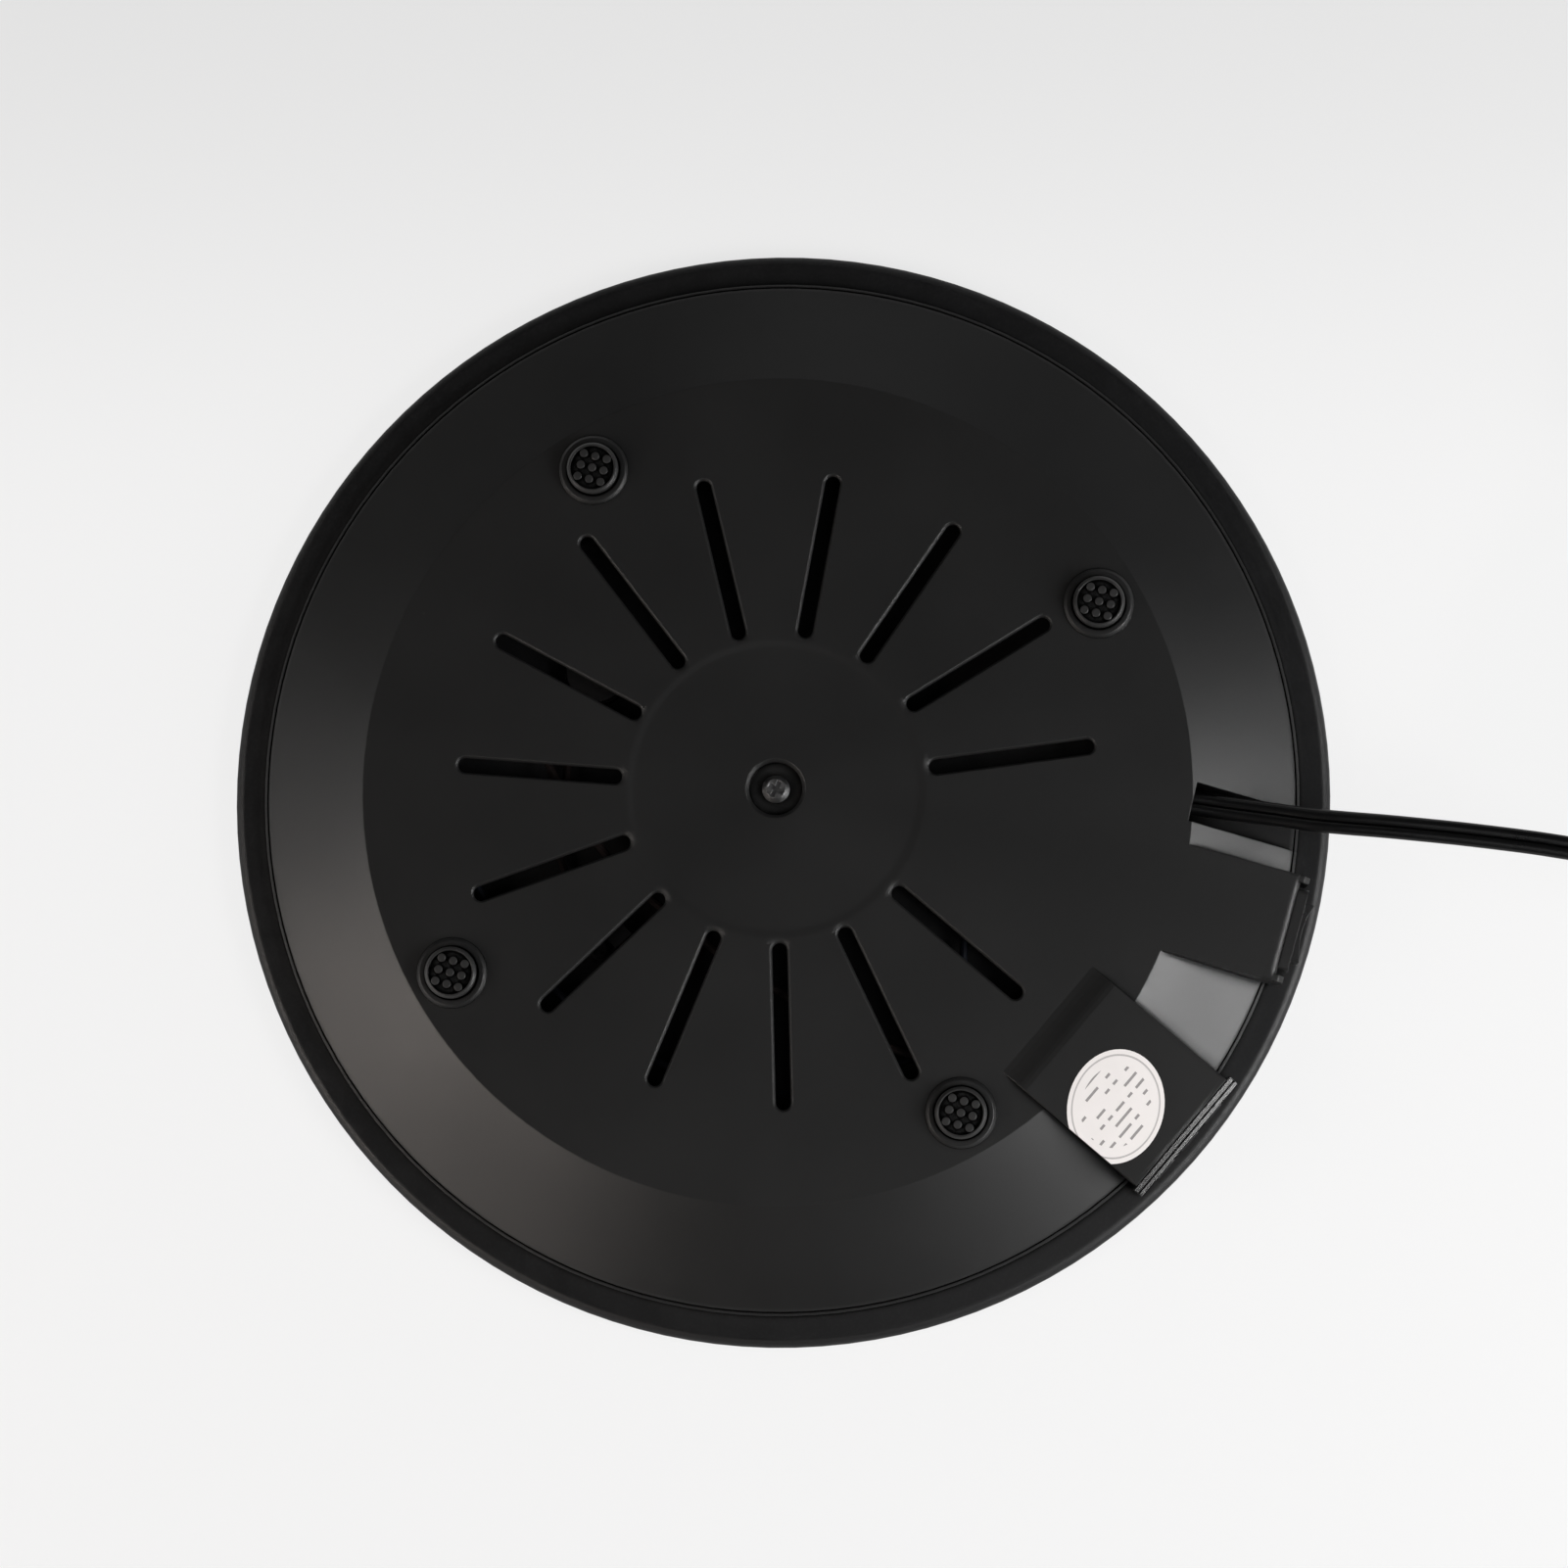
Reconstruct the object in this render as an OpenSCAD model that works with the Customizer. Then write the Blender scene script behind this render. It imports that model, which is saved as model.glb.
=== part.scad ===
// Electric food warming plate: a round black glass top on a vented plastic base, with a rocker switch,
// a small button panel and a flat mains cord. It stands on rubber feet on the plane z = 0, with the
// axis of the glass along Z and the controls towards -Y. Millimetres.

/* [Glass] */
// Diameter of the glass top
glass_d = 280; // [272:1:300]
// Thickness of the glass, which has a fully rounded edge
glass_t = 5; // [4:0.5:7]
// Thickness of the silicone bead that bonds the glass to the base
seal_t = 0.5; // [0.3:0.1:1]

/* [Base] */
// Outer diameter of the flange under the glass
flange_d = 263.8; // [262:0.2:266]
// Diameter of the flat floor, where the sloping wall starts
floor_d = 208.6; // [206:0.2:211]
// Height of the base from its floor to the top of its flange
base_h = 16.5; // [16.5:0.1:20]
// Thickness of the moulded walls
wall_t = 1.8; // [1.5:0.1:2]
// Thickness of the flange's rim
flange_t = 2; // [1.5:0.1:2.4]
// Width of the flange's rim outside the sloping wall
lip_w = 1.2; // [1.1:0.1:2]
// Diameter of the shallow dish in the middle of the floor
dish_d = 72; // [60:1:73]

/* [Vents] */
// Places in the ring of vent slots, one of which is left closed over the mains terminals
vent_places = 15; // [13:1:15]
// Distance from the axis to the inner end of a slot
vent_inner_r = 38.8; // [38.5:0.1:44]
// Distance from the axis to the outer end of a slot
vent_outer_r = 80.5; // [70:0.1:82]
// Width of a slot
vent_w = 3.8; // [3:0.1:4.5]
// Bevel round the mouth of a slot
vent_bevel = 0.5; // [0.3:0.1:0.8]

/* [Feet] */
// Height of the floor over the table
foot_h = 4; // [3.5:0.1:6]
// Diameter of the circle that the feet stand on
foot_circle_d = 186.8; // [180:0.2:188]
// Diameter of a rubber foot
foot_d = 13; // [12.6:0.1:14]
// Diameter of the moulded collar round a foot
collar_d = 17.6; // [16:0.1:19]
// Height of the collar
collar_h = 1.2; // [0.8:0.1:1.6]
// Spacing of the grip studs on a foot
nub_pitch = 3; // [2.6:0.1:3.1]

/* [Centre fixing] */
// Diameter of the recess for the screw head
recess_d = 13.4; // [11:0.1:16]
// Depth of that recess
recess_depth = 3.2; // [2.6:0.1:3.6]
// Diameter of the screw and of the stud above it
screw_d = 4; // [3:0.5:5]

/* [Heater] */
// Diameter of the heater stack
heater_d = 184; // [176:1:185]
// Thickness of the aluminium heat spreader
spreader_t = 1.5; // [1:0.1:2]
// Thickness of each mica sheet
mica_t = 0.4; // [0.3:0.1:0.6]
// Thickness of the resistance ribbon
ribbon_t = 0.4; // [0.2:0.1:0.5]
// Width of the resistance ribbon
ribbon_w = 4; // [3:0.5:5]
// Distance between the ribbon's rings
ribbon_pitch = 8.5; // [8:0.1:8.8]
// Thickness of the insulation felt
pad_t = 4; // [3:0.1:4.2]
// Thickness of the steel clamp plate
clamp_t = 0.8; // [0.6:0.1:1]

/* [Switch] */
// Direction of the switch bay about the axis
switch_turn = -103; // [-104:0.1:-102]
// Outer width of the switch bay
switch_bay_w = 27.4; // [26.6:0.1:28]
// Length of the switch's bezel
bezel_w = 21; // [20.5:0.1:21.6]
// Height of the bezel
bezel_h = 15; // [14.4:0.1:15.2]
// How far the bezel stands out of the bay's end wall
bezel_t = 2.6; // [2:0.1:3]
// Length of the rocker
rocker_w = 14.8; // [13.5:0.1:15]
// How far the tips of the rocker stand out of the bezel
rocker_proud = 2.3; // [1.8:0.1:2.6]
// Depth of the hollow across the rocker's face
rocker_hollow = 1.2; // [0.8:0.1:1.4]
// Swing of the rocker to each side
rocker_swing = 10; // [6:1:10]

/* [Button panel] */
// Direction of the panel bay about the axis
panel_turn = -78; // [-79:0.1:-77]
// Outer width of the panel bay
panel_bay_w = 34.4; // [33.6:0.2:35]
// How far the bay stands below the floor
bay_drop = 2; // [1.5:0.1:2.6]
// Distance from the axis to the start of the bay's ramp
bay_start = 89.2; // [88:0.4:92]
// Width of the panel
panel_w = 36.6; // [36:0.1:38]
// Thickness of the panel
panel_t = 2.8; // [2.6:0.1:3.2]
// Diameter of a push button
button_d = 6.6; // [5.5:0.1:7]
// Distance between the buttons
button_pitch = 9; // [8.6:0.1:9]
// How far a button stands out of the panel
button_proud = 0.4; // [0.3:0.05:0.45]
// Travel of a button
button_travel = 0.5; // [0.3:0.05:0.6]

/* [Cord] */
// Width of the flat cord
cord_w = 5.9; // [5.4:0.1:6.4]
// Thickness of the flat cord
cord_t = 3.4; // [3:0.1:3.5]
// Direction of the channel that the cord leaves through
channel_turn = -105; // [-106:0.1:-104.5]
// Width of that channel
channel_w = 10; // [8.6:0.1:10.4]
// Distance from the channel's middle line to the axis
channel_offset = 20.8; // [20.6:0.1:21.4]
// Diameter of the inner wires
wire_d = 2; // [1.6:0.1:2.2]
// Distance between turns of the coil
coil_pitch = 4; // [4:0.1:4.4]
// Middle radius of the coil's outer turn
coil_r = 38; // [37:0.5:39]

/* [Plug] */
// Width of the plug
plug_w = 27; // [25:0.5:30]
// Length of the plug's body
plug_l = 30; // [27:0.5:34]
// Length of the tapered sleeve on the plug
sleeve_l = 24; // [20:0.5:28]
// Diameter of a plug pin
pin_d = 4; // [3.6:0.1:4.8]
// Length of a plug pin
pin_l = 19; // [17:0.5:20]
// Distance between the pins
pin_gap = 19; // [17:0.5:19.5]

/* [Hidden] */
$fn = 64;
FEET = [1, 2, 3, 4];
BUTTONS = ["minus_button", "power_button", "plus_button"];
WIRES = ["wire_live", "wire_neutral", "wire_switch_feed", "wire_switched", "wire_thermostat", "wire_fuse",
         "wire_heater", "wire_return"];

// Overlap of a cut past the face that it opens
cut = 1;
// Sink of one moulded feature into the next
sink = 0.2;
// Clearances: a tight fit, a moving fit and a loose hole
fit = 0.1;
slide_gap = 0.3;
hole_gap = 0.4;

black = "#232323";
floor_z = foot_h;
floor_in_z = floor_z + wall_t;
flange_z = floor_z + base_h;
lip_z = flange_z - flange_t;
glass_z = flange_z + seal_t;
glass_r = glass_d / 2;
flange_r = flange_d / 2;
floor_r = floor_d / 2;
cone_end_r = flange_r - lip_w;
flange_in_r = flange_r - 6.5;
blank_r = flange_r + 4;
dish_depth = 0.2;
dish_edge = 1.4;

// Sloping wall: its outer line and the inner line one wall away
cone_step = 0.2;
cone_slope = (base_h - flange_t - cone_step) / (cone_end_r - floor_r);
cone_angle = atan(cone_slope);
cone_in_r = floor_r - wall_t * tan(cone_angle / 2);
cone_in_z = floor_in_z + cone_slope * (flange_in_r - cone_in_r);

// Heater stack, from the glass down
heater_r = heater_d / 2;
spreader_z = glass_z - spreader_t;
mica_1_z = spreader_z - mica_t;
ribbon_z = mica_1_z - ribbon_t;
mica_2_z = ribbon_z - mica_t;
pad_z = mica_2_z - pad_t;
clamp_z = pad_z - clamp_t;
clamp_rim = 3;
ribbon_first_r = 20;
ribbon_rings = floor((heater_r - 8 - ribbon_first_r) / ribbon_pitch) + 1;
ribbon_last_r = ribbon_first_r + (ribbon_rings - 1) * ribbon_pitch;
ribbon_gap = 6;
ribbon_turn = 50;
tab_side = ribbon_gap / 2 + ribbon_w / 2;
tab_d = 3;
bush_d = 6;
tab_drop = 2.2;

// Centre fixing
seat_z = floor_z + recess_depth;
seat_in_z = seat_z + wall_t;
standoff_af = screw_d * 2;
thread_gap = 0.3;
thread_reach = (clamp_z - seat_in_z - thread_gap) / 2;
screw_head_d = screw_d * 1.75;
screw_head_h = screw_d * 0.55;

// Thermostat and thermal fuse under the clamp plate
stat_turn = 95;
stat_r = 55;
stat_d = 16;
stat_flange_t = 0.6;
stat_body_h = 3.6;
stat_screw_gap = 24;
clip_t = stat_flange_t;
fuse_turn = 20;
fuse_r = 54;
fuse_d = 4;
fuse_l = 12;
fuse_screw_r = fuse_r + fuse_d / 2 + 4;

// Rubber feet
stem_d = 5.6;
sole_t = 0.9;
nub_d = 2.1;

// Switch: its bay, body and pivot
switch_face = flange_r + 0.5;
switch_z = floor_z + 8.1;
bay_floor_t = wall_t - 0.3;
end_wall_t = 2;
ear_t = 1.6;
ear_l = 2.1;
body_w = bezel_w - 2;
body_h = bezel_h - 2.2;
body_depth = 14;
body_wall = 0.95;
rocker_h = body_h - 2 * body_wall - 0.6;
pivot_in = 1.4;
pivot_d = 2.4;
pivot_gap = 0.08;
pivot_x = switch_face - pivot_in;
rocker_tip = switch_face + bezel_t + rocker_proud - pivot_x;
rocker_root = 3;
mouth_gap = 0.35;
mouth_w = 2 * ((rocker_w / 2) * cos(rocker_swing) + (bezel_t + pivot_in) * sin(rocker_swing) + mouth_gap);
blade_w = 4.8;
blade_t = 0.8;
blade_l = 7;
blade_gap = 6;

// Panel bay, board and buttons
seat_x = flange_r + 0.5;
panel_face = seat_x + panel_t;
bay_z = floor_z - bay_drop;
bay_floor_z = bay_z + wall_t - 0.2;
bay_roof_z = lip_z + 0.3;
ramp_l = 7;
bay_in_w = panel_bay_w - 2 * wall_t;
bay_in_start = bay_start + ramp_l + wall_t;
panel_top_z = flange_z - slide_gap;
tongue_l = 4;
tongue_t = 1.2;
button_z = bay_z + 7.8;
light_z = button_z + 6.4;
light_d = 2.2;
cap_flange_t = 1;
cap_flange_w = 0.7;
board_t = 1.6;
board_in = 9.6;
board_x = seat_x - board_in;
board_h = 13.6;
guide_t = 1;
guide_w = 1.5;
tact_w = 6;
tact_h = 3.4;
tact_nub_d = 3.5;
tact_nub_h = 1;
tact_top = board_x + tact_h + tact_nub_h;
led_d = 2.4;
led_h = 2;

// Cord channel and the cord's clamp
channel_end = sqrt(floor_r * floor_r - channel_offset * channel_offset);
channel_top_z = lip_z - cone_step;
liner_t = 1.6;
cord_z = floor_z + 4.6;
saddle_x = channel_end - 6.3;
saddle_l = 4;
bar_l = 24;
bar_w = 7;
bar_t = 1.8;
bar_z = cord_z + cord_t / 2 + fit;
boss_gap = 17;
boss_d = 6.4;
tapper_d = 3;
tapper_head_d = 5.6;
tapper_head_h = 1.5;

// Mains terminal block
block_r = 58;
block_l = 22;
block_w = 20;
block_h = 6.4;
pole_gap = 8;
pole_d = 4;
block_screw_d = 3;
pole_z = floor_in_z + block_h / 2;
live_r = block_r + pole_gap / 2;
neutral_r = block_r - pole_gap / 2;

// Oval sticker on the panel bay
sticker_l = 28.6;
sticker_w = 23.8;
sticker_t = 0.15;
sticker_x = 115.9;
sticker_y = 5.6;
sticker_lean = -26;

// Cord: distance along the channel's direction, side step from its middle, rise from the table to the
// outlet and lean of the flat side from level to upright
CORD = [[86.9, 0, 1, 0], [95.9, 0, 1, 0], [101.9, 0, 1, 0], [107.9, -0.4, 0.97, 0], [113.9, -0.9, 0.88, 0],
        [122.4, -1.6, 0.68, 0], [131.5, -2.3, 0.42, 0], [140, -3.3, 0.19, 0], [149.1, -4.6, 0.06, 0],
        [158.1, -5.8, 0, 0], [167.2, -7, 0, 0], [176.7, -8.1, 0, 0], [186.3, -9.1, 0, 0], [195.3, -9.8, 0, 0],
        [203.4, -10.5, 0, 12], [211.4, -11.2, 0, 32], [219.4, -11.9, 0, 56], [227.4, -12.6, 0, 78],
        [235.5, -13.3, 0, 90]];
cord_lift = 1.1;
COIL_RINGS = 24;

// Coil: two layers on edge, wound in on the table and out again above
coil_steps = 129;
coil_turns = coil_steps / COIL_RINGS;
coil_dip = 2.4;
layer_gap = 0.5;
coil_z1 = cord_lift + cord_w / 2;
coil_z2 = coil_z1 + cord_w + layer_gap;

// Tie round both layers
tie_step = 6;
tie_t = 0.8;
tie_w = 5;
tie_slack = 0.6;

// Point at a radius, a side offset and a height, seen along a direction about the axis
function at(turn, u, v, z) = [u * cos(turn) - v * sin(turn), u * sin(turn) + v * cos(turn), z];
function unit(v) = v / norm(v);
function smooth(t) = let (c = max(0, min(1, t))) c * c * (3 - 2 * c);

// Free stretch of the cord, lying on the table past the plate
cord_low = cord_t / 2 + 0.05;
cord_lean_up = (cord_w - cord_t) / 2;
cord_path = [for (c = CORD) at(channel_turn, c[0], c[1] - channel_offset, cord_low + c[2] * (cord_z - cord_low)
    + cord_lean_up * sin(c[3]) + smooth(c[3] / 90) * (coil_z1 - cord_low - cord_lean_up))];

// Coil: its straight lead-in, its turns and its straight end
coil_in = cord_path[len(cord_path) - 1];
coil_aim = atan2(coil_in.y - cord_path[len(cord_path) - 2].y, coil_in.x - cord_path[len(cord_path) - 2].x);
coil_x = coil_in.x + cord_w * cos(coil_aim) + coil_r * sin(coil_aim);
coil_y = coil_in.y + cord_w * sin(coil_aim) - coil_r * cos(coil_aim);
function coil_past(k) = k / COIL_RINGS - coil_turns / 2;
function coil_angle(k) = coil_aim + 90 - 360 * k / COIL_RINGS;
function coil_radius(k) = let (past = abs(coil_past(k)))
    coil_r + coil_pitch * (past - coil_turns / 2) - coil_dip * (1 - smooth((past - 0.25) / 0.25));
function coil_height(k) = coil_z1 + (coil_z2 - coil_z1) * smooth(coil_past(k) / 0.5 + 0.5);
function coil_point(k) = [coil_x + coil_radius(k) * cos(coil_angle(k)),
                          coil_y + coil_radius(k) * sin(coil_angle(k)), coil_height(k)];
coil_tail = coil_angle(coil_steps) - 90;
tail_l = 14;
coil_path = concat([coil_in], [for (k = [0:coil_steps]) coil_point(k)],
                   [coil_point(coil_steps) + tail_l * [cos(coil_tail), sin(coil_tail), 0]]);
coil_gap = min([for (k = [0:coil_steps - COIL_RINGS]) for (j = [k + COIL_RINGS:COIL_RINGS:coil_steps])
    max(abs(coil_radius(k) - coil_radius(j)) - cord_t, abs(coil_height(k) - coil_height(j)) - cord_w)]);
echo(coil_gap = coil_gap);

// Inner wires: ends on the switch blades, the board, the thermostat, the fuse and the heater tabs
blade_end = switch_face - body_depth - blade_l - slide_gap;
board_end = board_x - board_t - fit;
board_wire_z = bay_floor_z + 12.3;
stat_wire_z = clamp_z - stat_flange_t - 1.6;
fuse_wire_z = clamp_z - fit - fuse_d / 2;
fuse_lead = 8;
fuse_end = fuse_l / 2 + fuse_lead + fit;
tab_wire_z = clamp_z - tab_drop - 0.8 - wire_d / 2 - fit;
last_tab_side = ribbon_rings % 2 == 1 ? -tab_side : tab_side;
function mains(u, v, z) = at(switch_turn, u, v, z);
function front(u, v, z) = at(panel_turn, u, v, z);
core_z = cord_z;
core_end = CORD[0][0] - hole_gap;
core_step = cord_w / 4;
wire_routes = [
  [[at(channel_turn, core_end, core_step - channel_offset, core_z), mains(80, -22.3, 8.8), mains(71, -18.5, 9),
    mains(live_r + 1.2, -15, pole_z), mains(live_r, -12.5, pole_z), mains(live_r, -7, pole_z)]],
  [[at(channel_turn, core_end, -core_step - channel_offset, core_z), mains(78, -26, 8.8), mains(66, -24, 9),
    mains(57, -19, 9), mains(neutral_r, -14, pole_z), mains(neutral_r, -7, pole_z)]],
  [[mains(live_r, 7, pole_z), mains(live_r, 13, pole_z), mains(65, 16, 9.4), mains(72, 16.3, 10.2),
    mains(84, 11.5, 11.2), mains(96, 4.5, 12), mains(104, 1, switch_z), mains(blade_end, 0, switch_z)]],
  [[mains(blade_end, blade_gap, switch_z), mains(106.5, 6.5, 12.5), mains(101.5, 9, 14.2),
    mains(98.6, 15.5, board_wire_z), front(98, -17.5, board_wire_z), front(101, -11.5, board_wire_z),
    front(108, -9, board_wire_z), front(board_end, -9, board_wire_z)],
   [mains(blade_end, -blade_gap, switch_z), mains(106.5, -6.3, 12.8), mains(100.5, -3.5, 15.2),
    mains(96.5, 4, board_wire_z), mains(94.8, 15, board_wire_z), front(94.6, -15, board_wire_z),
    front(97.5, -8.5, board_wire_z), front(105, -5.2, board_wire_z), front(board_end, -5, board_wire_z)]],
  [[front(board_end, 2, board_wire_z), front(105, 2.5, board_wire_z), front(98.5, 5.5, 15.3),
    front(95.5, 11, 12), front(90, 15.5, 9.6), [41, -68, 8.3], [45, -48, 7.9], [44, -12, 7.9], [38, 22, 7.9],
    [30, 42, 8.2], [21, 55, 9.3], at(stat_turn, stat_r + 4, -17, stat_wire_z),
    at(stat_turn, stat_r + 4, -11 - slide_gap, stat_wire_z)]],
  [[at(stat_turn, stat_r - 4, -11 - slide_gap, stat_wire_z), at(stat_turn, stat_r - 4, -18, stat_wire_z),
    [30, 45.5, 11.2], [40, 41.5, fuse_wire_z], at(fuse_turn, fuse_r, fuse_end + 5, fuse_wire_z),
    at(fuse_turn, fuse_r, fuse_end, fuse_wire_z)]],
  [[at(fuse_turn, fuse_r, -fuse_end, fuse_wire_z), at(fuse_turn, fuse_r, -fuse_end - 4, fuse_wire_z),
    [50, -3.5, 10.8], [40, -2, 10.4], [26, 6, 9.8],
    at(ribbon_turn, ribbon_first_r + 3, tab_side - 6, tab_wire_z),
    at(ribbon_turn, ribbon_first_r, tab_side + 1, tab_wire_z)]],
  [[at(ribbon_turn, ribbon_last_r - 1, last_tab_side, tab_wire_z),
    at(ribbon_turn, ribbon_last_r + 2, last_tab_side - 7, tab_wire_z), [66, 40, 9.4], [75, 10, 9.4],
    [73, -25, 9.6], [60, -50, 10.6], [40, -64, 11.2], [20, -64, 10.4], mains(neutral_r, 17, pole_z),
    mains(neutral_r, 13, pole_z), mains(neutral_r, 7, pole_z)]]
];
wire_colours = ["#7a4a24", "#2f5fa8", "#7a4a24", "#303030", "#b03030", "#b03030", "#b03030", "#2f5fa8"];

// Frames along a path: the level side vector and the one square to it
function path_way(p, i) = unit(p[min(i + 1, len(p) - 1)] - p[max(i - 1, 0)]);
function path_side(t) = unit(cross(t, [0, 0, 1]));
function leaned(side, up, a) = [cos(a) * side + sin(a) * up, cos(a) * up - sin(a) * side];
function round_section(d, n) = [for (k = [0:n - 1]) [cos(360 * k / n), sin(360 * k / n)] * d / 2];

// Flat section with round edges, each drawn in a number of steps
function flat_section(w, t, steps) = [for (end = [1, -1], k = [0:steps]) let (a = 180 * k / steps - 90)
    end * [(w - t) / 2 + t / 2 * cos(a), t / 2 * sin(a)]];

// One closed tube through rings of points
module tube(path, section, leans) {
  n = len(section);
  m = len(path);
  points = [for (i = [0:m - 1])
      let (t = path_way(path, i), side = path_side(t), axes = leaned(side, cross(side, t), leans[i]))
      for (q = section) path[i] + q.x * axes[0] + q.y * axes[1]];
  walls = [for (i = [0:m - 2], j = [0:n - 1])
      let (a = i * n + j, b = i * n + (j + 1) % n)
      each [[a, b, b + n], [a, b + n, a + n]]];
  first_cap = [for (j = [1:n - 2]) [0, j + 1, j]];
  last_cap = [for (j = [1:n - 2]) [(m - 1) * n, (m - 1) * n + j, (m - 1) * n + j + 1]];
  polyhedron(points, concat(walls, first_cap, last_cap));
}

module turned(turn) {
  rotate([0, 0, turn]) children();
}

// Box between two corners
module span(low, high) {
  translate(low) cube(high - low);
}

// Section in X and Z carried to both sides along Y
module across(half) {
  translate([0, half, 0]) rotate([90, 0, 0]) linear_extrude(2 * half) children();
}

// Cylinder along X
module rod_x(d, x1, x2) {
  translate([x1, 0, 0]) rotate([0, 90, 0]) cylinder(d = d, h = x2 - x1);
}

// Bar with round ends along X, upright through z1 to z2
module round_bar(x1, x2, w, z1, z2) {
  span([x1 + w / 2, -w / 2, z1], [x2 - w / 2, w / 2, z2]);
  for (x = [x1 + w / 2, x2 - w / 2]) translate([x, 0, z1]) cylinder(d = w, h = z2 - z1);
}

// Rectangle with round corners, centred
module round_rect(w, h, r) {
  square([w - 2 * r, h], center = true);
  square([w, h - 2 * r], center = true);
  for (x = [-1, 1], y = [-1, 1]) translate([x * (w / 2 - r), y * (h / 2 - r)]) circle(r);
}

// Pan head screw with a cross slot, head down, the head's seat at z = 0
module screw(d, head_d, head_h, l) {
  slot = head_d * 0.16;
  difference() {
    union() {
      cylinder(d = d, h = l);
      translate([0, 0, -head_h * 0.5]) cylinder(d = head_d, h = head_h * 0.5);
      translate([0, 0, -head_h]) cylinder(d1 = head_d * 0.7, d2 = head_d, h = head_h * 0.5);
    }
    for (a = [0, 90]) rotate([0, 0, a])
      span([-head_d * 0.3, -slot / 2, -head_h - cut], [head_d * 0.3, slot / 2, -head_h * 0.4]);
  }
}

module glass_plate() {
  color("#0d0d0f") translate([0, 0, glass_z]) rotate_extrude($fn = 180) {
    square([glass_r - glass_t / 2, glass_t]);
    translate([glass_r - glass_t / 2, 0]) intersection() {
      translate([0, glass_t / 2]) circle(d = glass_t);
      square([glass_t, glass_t]);
    }
  }
}

module glass_seal() {
  color("#1a1a1a") translate([0, 0, flange_z]) difference() {
    cylinder(r = flange_r - 1.8, h = seal_t);
    translate([0, 0, -cut]) cylinder(r = flange_in_r + 0.8, h = seal_t + 2 * cut);
  }
}

// Aluminium disc with the stud that carries the stack
module heat_spreader() {
  color("#c9ccd0") {
    translate([0, 0, spreader_z]) cylinder(r = heater_r, h = spreader_t);
    translate([0, 0, clamp_z - thread_reach])
      cylinder(d = screw_d, h = spreader_z + sink - clamp_z + thread_reach);
  }
}

module stack_disc(z, t, r, hole) {
  difference() {
    translate([0, 0, z]) cylinder(r = r, h = t);
    translate([0, 0, z - cut]) cylinder(d = hole, h = t + 2 * cut);
    children();
  }
}

module tab_places() {
  turned(ribbon_turn) {
    translate([ribbon_first_r, tab_side, 0]) children();
    translate([ribbon_last_r, ribbon_rings % 2 == 1 ? -tab_side : tab_side, 0]) children();
  }
}

module tab_holes(d) {
  tab_places() translate([0, 0, clamp_z - cut]) cylinder(d = d, h = ribbon_z - clamp_z + cut);
}

module stat_place() {
  turned(stat_turn) translate([stat_r, 0, 0]) children();
}

module upper_mica() {
  color("#b9a888") stack_disc(mica_1_z, mica_t, heater_r - 1, screw_d + 2);
}

module lower_mica() {
  color("#b9a888") stack_disc(mica_2_z, mica_t, heater_r - 1, screw_d + 2) tab_holes(tab_d + hole_gap);
}

// Resistance ribbon: open rings joined in a meander, one ring to the next across a gap
module heating_ribbon() {
  color("#a07850") turned(ribbon_turn) translate([0, 0, ribbon_z]) linear_extrude(ribbon_t) {
    difference() {
      for (i = [0:ribbon_rings - 1]) difference() {
        circle(ribbon_first_r + i * ribbon_pitch + ribbon_w / 2);
        circle(ribbon_first_r + i * ribbon_pitch - ribbon_w / 2);
      }
      translate([0, -ribbon_gap / 2]) square([heater_r, ribbon_gap]);
    }
    for (i = [0:ribbon_rings - 2]) {
      side = i % 2 == 0 ? -1 : 1;
      translate([ribbon_first_r + i * ribbon_pitch, side * tab_side - ribbon_w / 2])
        square([ribbon_pitch, ribbon_w]);
    }
  }
}

module insulation_pad() {
  color("#e4e0d6") stack_disc(pad_z, pad_t, heater_r - clamp_t - hole_gap, screw_d + 4) {
    tab_holes(bush_d + hole_gap);
    stat_place() translate([0, 0, pad_z - cut]) cylinder(d = stat_d + 1, h = pad_t + 2 * cut);
  }
}

// Steel dish that presses the stack against the glass
module clamp_plate() {
  color("#9aa0a6") difference() {
    translate([0, 0, clamp_z]) cylinder(r = heater_r, h = clamp_t + clamp_rim);
    translate([0, 0, pad_z]) cylinder(r = heater_r - clamp_t, h = clamp_rim + cut);
    translate([0, 0, clamp_z - cut]) cylinder(d = screw_d + hole_gap, h = clamp_t + 2 * cut);
    tab_holes(bush_d + hole_gap);
    stat_place() {
      translate([0, 0, clamp_z - cut]) cylinder(d = stat_d + 1, h = clamp_t + 2 * cut);
      for (y = [-1, 1]) translate([0, y * stat_screw_gap / 2, clamp_z - cut])
        cylinder(d = tapper_d + fit, h = clamp_t + 2 * cut);
    }
    turned(fuse_turn) translate([fuse_screw_r, 0, clamp_z - cut])
      cylinder(d = tapper_d + fit, h = clamp_t + 2 * cut);
  }
}

// Threaded hexagon spacer between the stud and the screw
module centre_standoff() {
  color("#b8b8b8") translate([0, 0, seat_in_z]) difference() {
    cylinder(d = standoff_af / cos(30), h = clamp_z - seat_in_z, $fn = 6);
    translate([0, 0, -cut]) cylinder(d = screw_d + 2 * fit, h = clamp_z - seat_in_z + 2 * cut);
  }
}

module centre_screw() {
  color("#8c8f94") translate([0, 0, seat_z])
    screw(screw_d, screw_head_d, screw_head_h, wall_t + thread_reach);
}

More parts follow.
